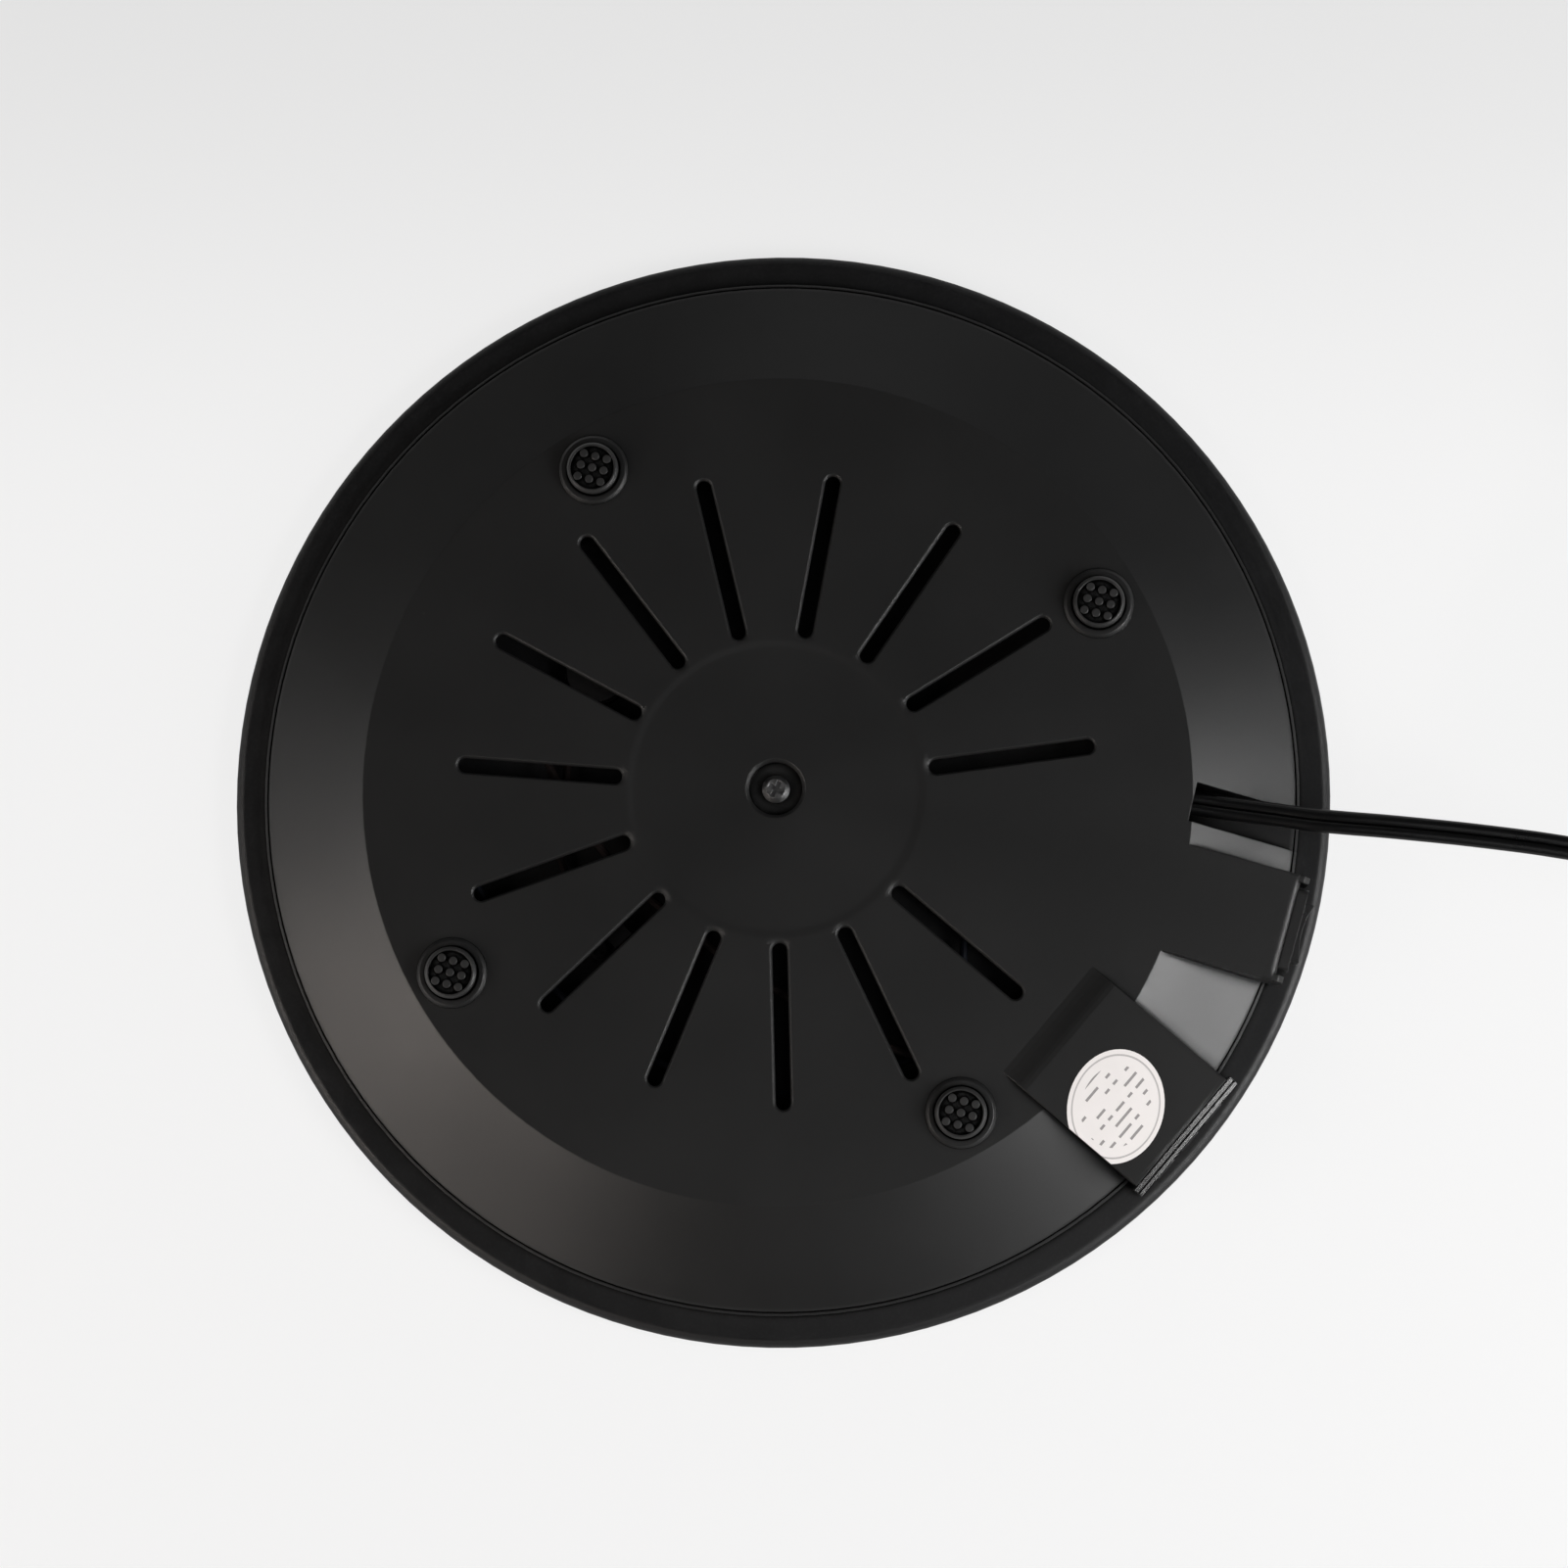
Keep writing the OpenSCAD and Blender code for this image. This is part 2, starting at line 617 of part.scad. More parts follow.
// Section of the base with its floor carried out past the switch bay
module blank_section() {
  polygon([[0, floor_z + dish_depth], [dish_d / 2, floor_z + dish_depth], [dish_d / 2 + dish_edge, floor_z],
           [blank_r, floor_z], [blank_r, flange_z], [flange_in_r, flange_z], [flange_in_r, cone_in_z],
           [cone_in_r, floor_in_z], [0, floor_in_z]]);
}

// Section of what lies outside the sloping wall, the grooved lip and the flange
module outside_section() {
  groove = 0.5;
  lip_round = 0.5;
  polygon([[floor_r - cut / cone_slope, floor_z - cut], [blank_r + cut, floor_z - cut],
           [blank_r + cut, flange_z + cut], [flange_r, flange_z + cut], [flange_r, lip_z + lip_round],
           [flange_r - lip_round, lip_z], [cone_end_r + groove, lip_z],
           [cone_end_r + groove / 2, lip_z + groove], [cone_end_r, lip_z - cone_step]]);
}

// Floor, wall and flange in one, with the switch bay left standing on the slope
module base_dish() {
  difference() {
    rotate_extrude($fn = 180) blank_section();
    difference() {
      rotate_extrude($fn = 180) outside_section();
      turned(switch_turn) switch_bay_space();
    }
  }
}

// Space inside the middle of the sloping wall's thickness
module base_envelope() {
  inset = wall_t / 2;
  rotate_extrude($fn = 180)
    polygon([[0, floor_z + inset], [floor_r - inset, floor_z + inset], [cone_end_r - inset, lip_z],
             [cone_end_r - inset, flange_z - inset], [0, flange_z - inset]]);
}

// One vent slot along X with a bevelled mouth on the outside
module vent_cut() {
  r = vent_w / 2;
  wide = r + vent_bevel + cut;
  slim = r - vent_bevel;
  x1 = vent_inner_r + r;
  x2 = vent_outer_r - r;
  low = floor_z - cut;
  high = floor_z + 2 * vent_bevel;
  round_bar(vent_inner_r, vent_outer_r, vent_w, floor_z - cut, floor_in_z + cut);
  translate([x1, 0, 0]) rotate([90, 0, 90]) linear_extrude(x2 - x1)
    polygon([[-slim, high], [-wide, low], [wide, low], [slim, high]]);
  for (x = [x1, x2]) translate([x, 0, low]) cylinder(r1 = wide, r2 = slim, h = high - low);
}

module foot_places() {
  for (k = FEET) foot_place(k) children();
}

// Feet stand square to each other, turned from the controls
module foot_place(k) {
  foot_turn = 31.8;
  turned(foot_turn + 90 * (k - 1)) translate([foot_circle_d / 2, 0, 0]) children();
}

module collar() {
  inner_r = foot_d / 2 + hole_gap;
  bevel = 0.7;
  rotate_extrude()
    polygon([[inner_r, floor_z + sink], [inner_r, floor_z - collar_h],
             [collar_d / 2 - bevel, floor_z - collar_h],
             [collar_d / 2, floor_z - collar_h + bevel], [collar_d / 2, floor_z + sink]]);
}

// Space of the switch bay: a block with a bevelled end, its end wall up to the glass and an ear at each side
module switch_bay_space() {
  w = switch_bay_w / 2;
  bevel = 0.8;
  tip = 1.3;
  deep = 2 * cut;
  across(w) polygon([[floor_r - 4, floor_z - deep], [switch_face - bevel - deep, floor_z - deep],
                     [switch_face, floor_z + bevel], [switch_face, lip_z + cone_step],
                     [floor_r - 4, lip_z + cone_step]]);
  span([switch_face - end_wall_t, sink - w, lip_z - 1], [switch_face, w - sink, flange_z + deep]);
  for (y = [-1, 1]) translate([0, y * (w - sink - ear_t / 2), 0])
    across(ear_t / 2)
      polygon([[switch_face - 1, floor_z - cut], [switch_face + ear_l - tip - cut, floor_z - cut],
               [switch_face + ear_l, floor_z + tip], [switch_face + ear_l, lip_z - sink],
               [switch_face - 1, lip_z - sink]]);
}

module switch_bay_cut() {
  w = switch_bay_w / 2 - wall_t;
  span([floor_r - 3, -w, floor_z + bay_floor_t], [switch_face - end_wall_t, w, bay_roof_z]);
  span([switch_face - end_wall_t - cut, -body_w / 2 - fit, switch_z - body_h / 2 - fit],
       [switch_face + cut, body_w / 2 + fit, switch_z + body_h / 2 + fit]);
}

// Block for the panel, with a curved ramp up to its face and a rib that closes it against the flange
module panel_bay_solid() {
  rib_z = flange_z - 0.5;
  ramp = [[0, 0], [0.2, 0.1], [0.4, 0.28], [0.6, 0.56], [0.75, 0.8], [0.88, 0.93], [1.05, 1]];
  across(panel_bay_w / 2)
    polygon(concat([[floor_r, floor_z + sink], [bay_start, floor_z + sink]],
                   [for (p = ramp) [bay_start + ramp_l * p.x, floor_z - bay_drop * p.y]],
                   [[seat_x, bay_z], [seat_x, rib_z], [flange_in_r + 1, rib_z],
                    [flange_in_r + 1, lip_z + cone_step], [floor_r, lip_z + cone_step]]));
}

module panel_bay_cut() {
  w = bay_in_w / 2;
  difference() {
    span([bay_in_start, -w, bay_floor_z], [flange_r + cut, w, bay_roof_z]);
    for (x = [board_x - board_t - fit - guide_t, board_x + fit], y = [-w - cut, w - guide_w])
      span([x, y, bay_floor_z - cut], [x + guide_t, y + guide_w + cut, floor_z + 8]);
  }
}

module channel_place() {
  turned(channel_turn) translate([0, -channel_offset, 0]) children();
}

module channel_solid() {
  w = channel_w / 2 + liner_t;
  intersection() {
    base_envelope();
    channel_place() span([channel_end - liner_t, -w, floor_z], [flange_r, w, channel_top_z + liner_t]);
  }
}

module channel_cut() {
  channel_place() {
    span([channel_end, -channel_w / 2, floor_z - cut], [flange_r + cut, channel_w / 2, channel_top_z]);
    translate([0, 0, cord_z]) rotate([90, 0, 90]) translate([0, 0, channel_end - liner_t - cut])
      linear_extrude(liner_t + 2 * cut) round_rect(cord_w + 2 * hole_gap, cord_t + 2 * hole_gap, cord_t / 2);
  }
}

// Saddle and two bosses for the bar that grips the cord
module clamp_seat() {
  channel_place() {
    span([saddle_x - saddle_l / 2, -cord_w / 2 - 1, floor_in_z - sink],
         [saddle_x + saddle_l / 2, cord_w / 2 + 1, cord_z - cord_t / 2 - fit]);
    for (y = [-1, 1]) translate([saddle_x, y * boss_gap / 2, floor_in_z - sink])
      cylinder(d = boss_d, h = bar_z - floor_in_z + sink);
  }
}

module clamp_holes(d) {
  channel_place() for (y = [-1, 1]) translate([saddle_x, y * boss_gap / 2, floor_in_z])
    cylinder(d = d, h = bar_z + bar_t - floor_in_z + cut);
}

// Recess for the screw head with a bevelled mouth, and the hole for its shank
module recess_cut() {
  r = recess_d / 2;
  hole_r = (screw_d + hole_gap) / 2;
  bevel = 1;
  rotate_extrude()
    polygon([[0, floor_z - cut], [r + bevel + cut, floor_z - cut], [r, floor_z + bevel], [r, seat_z],
             [hole_r, seat_z], [hole_r, seat_in_z + cut], [0, seat_in_z + cut]]);
}

module base_shell() {
  first_vent = panel_turn;
  vent_step = 360 / vent_places;
  color(black) difference() {
    union() {
      base_dish();
      channel_solid();
      turned(panel_turn) panel_bay_solid();
      foot_places() collar();
      translate([0, 0, floor_z + dish_depth])
        cylinder(d = recess_d + 2 * wall_t, h = seat_in_z - floor_z - dish_depth);
      clamp_seat();
    }
    for (k = [0:vent_places - 2]) turned(first_vent + k * vent_step) vent_cut();
    recess_cut();
    foot_places() translate([0, 0, -cut]) cylinder(d = stem_d + 2 * fit, h = floor_in_z + 2 * cut);
    turned(switch_turn) switch_bay_cut();
    turned(panel_turn) panel_bay_cut();
    channel_cut();
    clamp_holes(tapper_d - hole_gap);
  }
}

// Rubber foot: a rimmed sole with grip studs, and a barbed stem through the floor
module foot(k) {
  rim_t = 1;
  bevel = 0.6;
  barb_d = stem_d + 1.8;
  color("#1b1b1b") foot_place(k) {
    rotate_extrude()
      polygon([[0, sole_t], [foot_d / 2 - rim_t, sole_t], [foot_d / 2 - rim_t, 0], [foot_d / 2 - bevel, 0],
               [foot_d / 2, bevel], [foot_d / 2, floor_z], [0, floor_z]]);
    for (x = [-1:1], y = [-1:1]) rotate([0, 0, 45]) translate([x * nub_pitch, y * nub_pitch, 0])
      cylinder(d = nub_d, h = sole_t + sink);
    translate([0, 0, floor_z - sink]) cylinder(d = stem_d, h = wall_t + 2 * sink + fit);
    translate([0, 0, floor_in_z + fit]) cylinder(d1 = barb_d, d2 = stem_d - 1, h = 1.6);
  }
}

// Switch frame: a bezel outside the wall and an open body behind it
module switch_housing() {
  color("#1e1e1e") turned(switch_turn) translate([0, 0, switch_z]) difference() {
    union() {
      translate([switch_face, 0, 0]) rotate([90, 0, 90]) linear_extrude(bezel_t)
        round_rect(bezel_w, bezel_h, 1.2);
      span([switch_face - body_depth, -body_w / 2, -body_h / 2], [switch_face + sink, body_w / 2, body_h / 2]);
    }
    span([switch_face - body_depth + 2, -mouth_w / 2, -body_h / 2 + body_wall],
         [switch_face + bezel_t + cut, mouth_w / 2, body_h / 2 - body_wall]);
    translate([pivot_x, 0, -body_h / 2 - cut]) cylinder(d = pivot_d + 2 * pivot_gap, h = body_h + 2 * cut);
  }
}

// Rocker: a hollow-faced bar that tilts on two short pivots, at rest in the middle
module switch_rocker() {
  hw = rocker_w / 2;
  face_r = (hw * hw + rocker_hollow * rocker_hollow) / (2 * rocker_hollow);
  color("#262626") turned(switch_turn) translate([pivot_x, 0, switch_z]) {
    translate([0, 0, -rocker_h / 2]) linear_extrude(rocker_h) difference() {
      polygon([[-rocker_root, -hw * 0.45], [0, -hw], [rocker_tip, -hw], [rocker_tip, hw], [0, hw],
               [-rocker_root, hw * 0.45]]);
      translate([rocker_tip - rocker_hollow + face_r, 0]) circle(face_r, $fn = 120);
    }
    pivot_l = rocker_h + 2 * body_wall + 0.2;
    translate([0, 0, -pivot_l / 2]) cylinder(d = pivot_d, h = pivot_l);
  }
}

module switch_terminals() {
  back = switch_face - body_depth;
  color("#c8a85a") turned(switch_turn) for (k = [-1:1]) translate([0, k * blade_gap, switch_z])
    span([back - blade_l, -blade_t / 2, -blade_w / 2], [back, blade_t / 2, blade_w / 2]);
}

module button_places() {
  for (k = [0:2]) button_place(k) children();
}

module button_place(k) {
  turned(panel_turn) translate([0, (k - 1) * button_pitch, button_z]) children();
}

module light_places() {
  turned(panel_turn) for (k = [-1:1]) translate([0, k * button_pitch, light_z]) children();
}

// End panel of the bay: a sloping edge with a fine groove along it, holes for the buttons and lights, and a
// tongue into each side of the bay
module control_panel() {
  w = bay_in_w / 2 - fit;
  mid = seat_x + panel_t / 2;
  color("#202020") difference() {
    turned(panel_turn) {
      across(panel_w / 2)
        polygon([[seat_x, bay_z + 0.3], [seat_x + 0.3, bay_z], [mid, bay_z + 0.7], [mid + 0.1, bay_z + 1.3],
                 [mid + 0.4, bay_z + 0.9], [panel_face, bay_z + 1.5], [panel_face, panel_top_z],
                 [seat_x, panel_top_z]]);
      for (y = [-w, w - tongue_t])
        span([seat_x - tongue_l, y, bay_floor_z + 1], [seat_x + sink, y + tongue_t, lip_z - 1]);
    }
    button_places() rod_x(button_d + 2 * slide_gap, seat_x - cut, panel_face + cut);
    light_places() rod_x(light_d + 2 * fit, seat_x - cut, panel_face + cut);
  }
}

// Push button: a domed cap with a shoulder behind the panel and a stem to the key switch
module button(k) {
  stem_end = tact_top + button_travel + slide_gap;
  front = panel_face + button_proud;
  color("#2c2c2c") button_place(k) difference() {
    union() {
      rod_x(button_d, seat_x - cap_flange_t, front - 0.3);
      translate([front - 0.3, 0, 0]) rotate([0, 90, 0]) cylinder(d1 = button_d, d2 = button_d - 0.6, h = 0.3);
      rod_x(button_d + 2 * cap_flange_w, seat_x - slide_gap - cap_flange_t, seat_x - slide_gap);
      rod_x(tact_nub_d, stem_end, seat_x - cap_flange_t);
    }
    if (k == 1) translate([front + 13.8, 0, 0]) sphere(r = 14, $fn = 90);
  }
}

// Clear bar with three pins that carry light to the panel's face
module light_guide() {
  bar_x = seat_x - cap_flange_t - 1.6;
  color([0.9, 0.9, 0.9, 0.6]) {
    light_places() rod_x(light_d, board_x + led_h + led_d / 2 + slide_gap, panel_face);
    turned(panel_turn)
      span([bar_x, -button_pitch - 1.5, light_z - 1], [seat_x - fit, button_pitch + 1.5, light_z + 1]);
  }
}

// Printed board, upright behind the panel in the bay's guides
module control_board() {
  w = bay_in_w / 2 - slide_gap;
  color("#2f6b3c") turned(panel_turn)
    span([board_x - board_t, -w, bay_floor_z + fit], [board_x, w, bay_floor_z + fit + board_h]);
}

module tact_switches() {
  color("#3a3a3a") button_places() {
    span([board_x, -tact_w / 2, -tact_w / 2], [board_x + tact_h, tact_w / 2, tact_w / 2]);
    rod_x(tact_nub_d, board_x + tact_h - sink, tact_top);
  }
}

module indicator_leds() {
  color("#e9e4d2") light_places() {
    rod_x(led_d, board_x, board_x + led_h);
    translate([board_x + led_h, 0, 0]) sphere(d = led_d);
  }
}

module relay() {
  color("#2b4f8c") turned(panel_turn)
    span([board_x - board_t - 10.5, -11.5, bay_floor_z + 1], [board_x - board_t, 7.5, bay_floor_z + 11.2]);
}

module capacitor() {
  color("#7a4a2a") turned(panel_turn) translate([0, 10.4, bay_floor_z + 5.5]) difference() {
    rod_x(5, board_x - board_t - 9, board_x - board_t);
    translate([board_x - board_t - 9 - cut, 0, 0]) rod_x(3.4, 0, cut + 0.3);
  }
}

// Snap-action thermostat: a metal cap against the heater and a body with two blades below the plate
module thermostat() {
  base_z = clamp_z - stat_flange_t;
  color("#4a3a30") stat_place() {
    translate([0, 0, base_z]) cylinder(d = stat_d, h = mica_2_z - base_z);
    difference() {
      union() {
        span([-4, -stat_screw_gap / 2, base_z], [4, stat_screw_gap / 2, clamp_z]);
        for (y = [-1, 1]) translate([0, y * stat_screw_gap / 2, base_z]) cylinder(d = 8, h = stat_flange_t);
      }
      for (y = [-1, 1]) translate([0, y * stat_screw_gap / 2, base_z - cut])
        cylinder(d = tapper_d + hole_gap, h = stat_flange_t + 2 * cut);
    }
    translate([0, 0, base_z - stat_body_h]) cylinder(d = stat_d - 1, h = stat_body_h + sink);
    for (x = [-1, 1]) span([x * 4 - 0.4, -11, base_z - 2.6], [x * 4 + 0.4, -stat_d / 2 + 1.5, base_z - 0.6]);
  }
}

// Three alike screws through thin flanges into the clamp plate
module plate_screws() {
  color("#b8b8b8") {
    stat_place() for (y = [-1, 1]) translate([0, y * stat_screw_gap / 2, 0]) plate_screw();
    turned(fuse_turn) translate([fuse_screw_r, 0, 0]) plate_screw();
  }
}

module plate_screw() {
  translate([0, 0, clamp_z - clip_t]) screw(tapper_d, tapper_head_d, tapper_head_h, clip_t + clamp_t);
}

// Thermal fuse, a small metal barrel with two leads, under a sprung clip
module thermal_fuse() {
  color("#c0b070") turned(fuse_turn) translate([fuse_r, 0, clamp_z - fit - fuse_d / 2]) rotate([90, 0, 0]) {
    translate([0, 0, -fuse_l / 2]) cylinder(d = fuse_d, h = fuse_l);
    translate([0, 0, -fuse_l / 2 - fuse_lead]) cylinder(d = 1, h = fuse_l + 2 * fuse_lead);
  }
}

module fuse_clip() {
  low = clamp_z - 2 * fit - fuse_d;
  side = fuse_d / 2 + fit;
  half = 3;
  color("#9aa0a6") turned(fuse_turn) difference() {
    union() {
      span([fuse_r - side - clip_t, -half, low - clip_t], [fuse_r + side + clip_t, half, clamp_z]);
      span([fuse_r + side, -half, clamp_z - clip_t], [fuse_screw_r + half, half, clamp_z]);
    }
    span([fuse_r - side, -half - cut, low], [fuse_r + side, half + cut, clamp_z + cut]);
    translate([fuse_screw_r, 0, clamp_z - clip_t - cut]) cylinder(d = tapper_d + fit, h = clip_t + 2 * cut);
  }
}

// Two tabs from the ends of the ribbon down through the stack
module heater_terminals() {
  color("#c8a85a") tab_places() translate([0, 0, clamp_z - tab_drop]) {
    cylinder(d = tab_d, h = ribbon_z - clamp_z + tab_drop);
    translate([0, 0, -0.8]) cylinder(d = tab_d + 2, h = 1);
  }
}

// Ceramic bushes that keep the tabs off the steel plate
module terminal_bushes() {
  color("#efeae0") tab_places() difference() {
    union() {
      translate([0, 0, clamp_z - fit]) cylinder(d = bush_d, h = pad_t + clamp_t + fit);
      translate([0, 0, clamp_z - fit - 1.2]) cylinder(d = bush_d + 2.4, h = 1.2);
    }
    translate([0, 0, clamp_z - 2 * cut]) cylinder(d = tab_d + 2 * fit, h = pad_t + clamp_t + 4 * cut);
  }
}

module block_place() {
  turned(switch_turn) translate([block_r, 0, 0]) rotate([0, 0, 90]) children();
}

// Two-pole mains block with a bore through each pole, over the closed vent place
module terminal_block() {
  slot = 1.2;
  color("#d9d4c6") block_place() difference() {
    span([-block_l / 2, -block_w / 2, floor_in_z], [block_l / 2, block_w / 2, floor_in_z + block_h]);
    for (y = [-1, 1]) translate([0, y * pole_gap / 2, pole_z]) {
      rod_x(pole_d, -block_l / 2 - cut, block_l / 2 + cut);
      for (x = [-1, 1]) translate([x * block_l / 4, 0, 0]) cylinder(d = block_screw_d + fit, h = block_h);
    }
    span([-slot / 2, -block_w / 2 - cut, floor_in_z + block_h - 2],
         [slot / 2, block_w / 2 + cut, floor_in_z + block_h + cut]);
  }
}

module terminal_screws() {
  color("#b8b8b8") block_place() for (x = [-1, 1], y = [-1, 1])
    translate([x * block_l / 4, y * pole_gap / 2, pole_z + wire_d / 2 + fit])
      cylinder(d = block_screw_d, h = block_h / 2 - wire_d / 2 - 2 * fit);
}

module cord_clamp() {
  color("#2a2a2a") difference() {
    channel_place() translate([saddle_x, 0, 0]) rotate([0, 0, 90])
      round_bar(-bar_l / 2, bar_l / 2, bar_w, bar_z, bar_z + bar_t);
    clamp_holes(tapper_d + hole_gap);
  }
}

module clamp_screws() {
  color("#b8b8b8") channel_place() for (y = [-1, 1])
    translate([saddle_x, y * boss_gap / 2, bar_z + bar_t]) mirror([0, 0, 1])
      screw(tapper_d - 2 * hole_gap, tapper_head_d, tapper_head_h, bar_t + 4);
}

// Wires, each as one or more routes from end to end
module wire(k) {
  color(wire_colours[k]) for (route = wire_routes[k])
    tube(route, round_section(wire_d, 8), [for (p = route) 0]);
}

// Oval sticker on the bay's face, trimmed at the bay's side
module oval_sticker() {
  color("#f2f2ee") turned(panel_turn) translate([0, 0, bay_z - sticker_t]) linear_extrude(sticker_t)
    intersection() {
      translate([sticker_x, sticker_y]) rotate(90 + sticker_lean)
        polygon([for (k = [0:59]) [cos(6 * k) * sticker_l / 2, sin(6 * k) * sticker_w / 2]]);
      translate([bay_start + ramp_l, -panel_bay_w / 2]) square([seat_x - bay_start - ramp_l, panel_bay_w]);
    }
}

// Flat mains cord from its clamp, out of the channel and down to the table, then up on its edge
module power_cord() {
  color("#1c1c1c") tube(cord_path, flat_section(cord_w, cord_t, 4), [for (c = CORD) c[3]]);
}

// Spare cord, coiled on edge in two layers
module cord_coil() {
  color("#1c1c1c") tube(coil_path, flat_section(cord_w, cord_t, 2), [for (p = coil_path) 90]);
}

// Flat band round the coil's turns at one place
module cord_tie() {
  near = coil_radius(tie_step + 2 * COIL_RINGS) - cord_t / 2 - tie_slack;
  far = coil_radius(tie_step + 5 * COIL_RINGS) + cord_t / 2 + tie_slack;
  high = coil_z2 + cord_w / 2 + slide_gap;
  color("#2e2e2e") translate([coil_x, coil_y, 0]) rotate([0, 0, coil_angle(tie_step)]) difference() {
    span([near - tie_t, -tie_w / 2, 0], [far + tie_t, tie_w / 2, high + tie_t]);
    span([near, -tie_w / 2 - cut, tie_t], [far, tie_w / 2 + cut, high]);
  }
}

module plug_place() {
  translate(coil_path[len(coil_path) - 1]) rotate([0, 0, coil_angle(coil_steps) - 90]) children();
}

// Two-pin plug lying on its side, with a ribbed sleeve towards the cord
module plug_body() {
  half_t = coil_z2 - fit / 2;
  half_w = plug_w / 2;
  neck = 7;
  ribs = 5;
  rib_w = sleeve_l / (2 * ribs + 1);
  color("#1e1e1e") plug_place() {
    difference() {
      rotate([0, 90, 0]) cylinder(d1 = cord_w + 2.4, d2 = 2 * neck, h = sleeve_l + sink);
      for (k = [0:ribs - 1]) translate([(2 * k + 1) * rib_w, 0, 0]) difference() {
        rod_x(4 * neck, 0, rib_w);
        rod_x(cord_w + 1.2 + k * 1.1, -cut, rib_w + cut);
      }
    }
    translate([sleeve_l, 0, 0]) intersection() {
      translate([0, 0, -half_t]) linear_extrude(2 * half_t)
        polygon([[0, -neck], [plug_l * 0.3, -neck - 1.5], [plug_l * 0.55, -half_w], [plug_l - 1, -half_w],
                 [plug_l, 1 - half_w], [plug_l, half_w - 1], [plug_l - 1, half_w], [plug_l * 0.55, half_w],
                 [plug_l * 0.3, neck + 1.5], [0, neck]]);
      rotate([90, 0, 0]) translate([0, 0, -half_w]) linear_extrude(2 * half_w)
        polygon([[0, -neck], [plug_l * 0.3, -neck], [plug_l * 0.6, -half_t], [plug_l - 1, -half_t],
                 [plug_l, 1 - half_t], [plug_l, half_t - 1], [plug_l - 1, half_t], [plug_l * 0.6, half_t],
                 [plug_l * 0.3, neck], [0, neck]]);
    }
  }
}

module plug_pins() {
  tip = 1;
  color("#c0c2c4") plug_place() for (y = [-1, 1]) translate([sleeve_l + plug_l, y * pin_gap / 2, 0]) {
    rod_x(pin_d, 0, pin_l - tip);
    translate([pin_l - tip, 0, 0]) rotate([0, 90, 0]) cylinder(d1 = pin_d, d2 = pin_d - 1.4, h = tip);
  }
}

glass_plate();
glass_seal();
heat_spreader();
upper_mica();
heating_ribbon();
lower_mica();
insulation_pad();
clamp_plate();
centre_standoff();
base_shell();
centre_screw();
for (k = FEET) foot(k);
switch_housing();
switch_rocker();
switch_terminals();
control_panel();
for (k = [0:len(BUTTONS) - 1]) button(k);
light_guide();
control_board();
tact_switches();
indicator_leds();
relay();
capacitor();
thermostat();
thermal_fuse();
fuse_clip();
plate_screws();
heater_terminals();
terminal_bushes();
terminal_block();
terminal_screws();
cord_clamp();
clamp_screws();
for (k = [0:len(WIRES) - 1]) wire(k);
oval_sticker();
power_cord();
cord_coil();
cord_tie();
plug_body();
plug_pins();
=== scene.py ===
import math

import bpy
from mathutils import Matrix, Vector


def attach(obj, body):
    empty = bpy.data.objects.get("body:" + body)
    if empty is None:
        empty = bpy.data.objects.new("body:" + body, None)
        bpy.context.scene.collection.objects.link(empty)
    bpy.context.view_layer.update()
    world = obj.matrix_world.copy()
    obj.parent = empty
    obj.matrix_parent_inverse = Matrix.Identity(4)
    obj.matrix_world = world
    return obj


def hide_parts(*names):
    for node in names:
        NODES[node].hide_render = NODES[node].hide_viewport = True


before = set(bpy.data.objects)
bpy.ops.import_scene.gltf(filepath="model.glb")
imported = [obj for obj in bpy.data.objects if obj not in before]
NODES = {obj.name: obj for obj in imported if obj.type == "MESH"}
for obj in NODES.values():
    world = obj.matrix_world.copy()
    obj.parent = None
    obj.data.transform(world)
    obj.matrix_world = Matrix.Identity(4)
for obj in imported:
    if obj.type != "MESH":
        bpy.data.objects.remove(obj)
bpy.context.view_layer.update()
scene = bpy.context.scene
scene.view_settings.view_transform = "Standard"

# Named lengths are in millimetres and named angles in degrees, unless a comment says otherwise
MM = 0.001
SWITCH_TURN, CHANNEL_TURN, PANEL_TURN = -103.0, -105.0, -78.0
RIM_Z = 23.5


def at(turn, u, v, z):
    """Point in metres from a distance, a side step and a height, seen along a direction about Z."""
    c, s = math.cos(math.radians(turn)), math.sin(math.radians(turn))
    return Vector((u * c - v * s, u * s + v * c, z)) * MM


def smooth(t):
    """0 to 1 with a soft start and a soft end."""
    t = max(0.0, min(1.0, t))
    return t * t * (3 - 2 * t)


def grey(level):
    return (level, level, level)


# Camera: below the plate, looking up at its underside as the photograph does
PHOTO_PIXELS, FOCAL_PIXELS, SENSOR = 1601, 3992.5, 36
PICTURE_TURN, TILT_ABOUT_X, TILT_ABOUT_Y = -118.3, -5.55, -3.03
CAMERA_STAND = Vector((1.12, 2.95, 1000))
picture_cos, picture_sin = math.cos(math.radians(PICTURE_TURN)), math.sin(math.radians(PICTURE_TURN))
RIGHT = Vector((picture_cos, picture_sin, 0))
UP = Vector((picture_sin, -picture_cos, 0))
NEAR = Vector((0, 0, -1))
PICTURE = Matrix((RIGHT, UP, NEAR)).transposed()


def picture_point(x, y, z):
    """Point in metres from lengths to the right, up and towards the camera from the middle of the rim."""
    return PICTURE @ Vector((x, y, z)) * MM + Vector((0, 0, RIM_Z * MM))


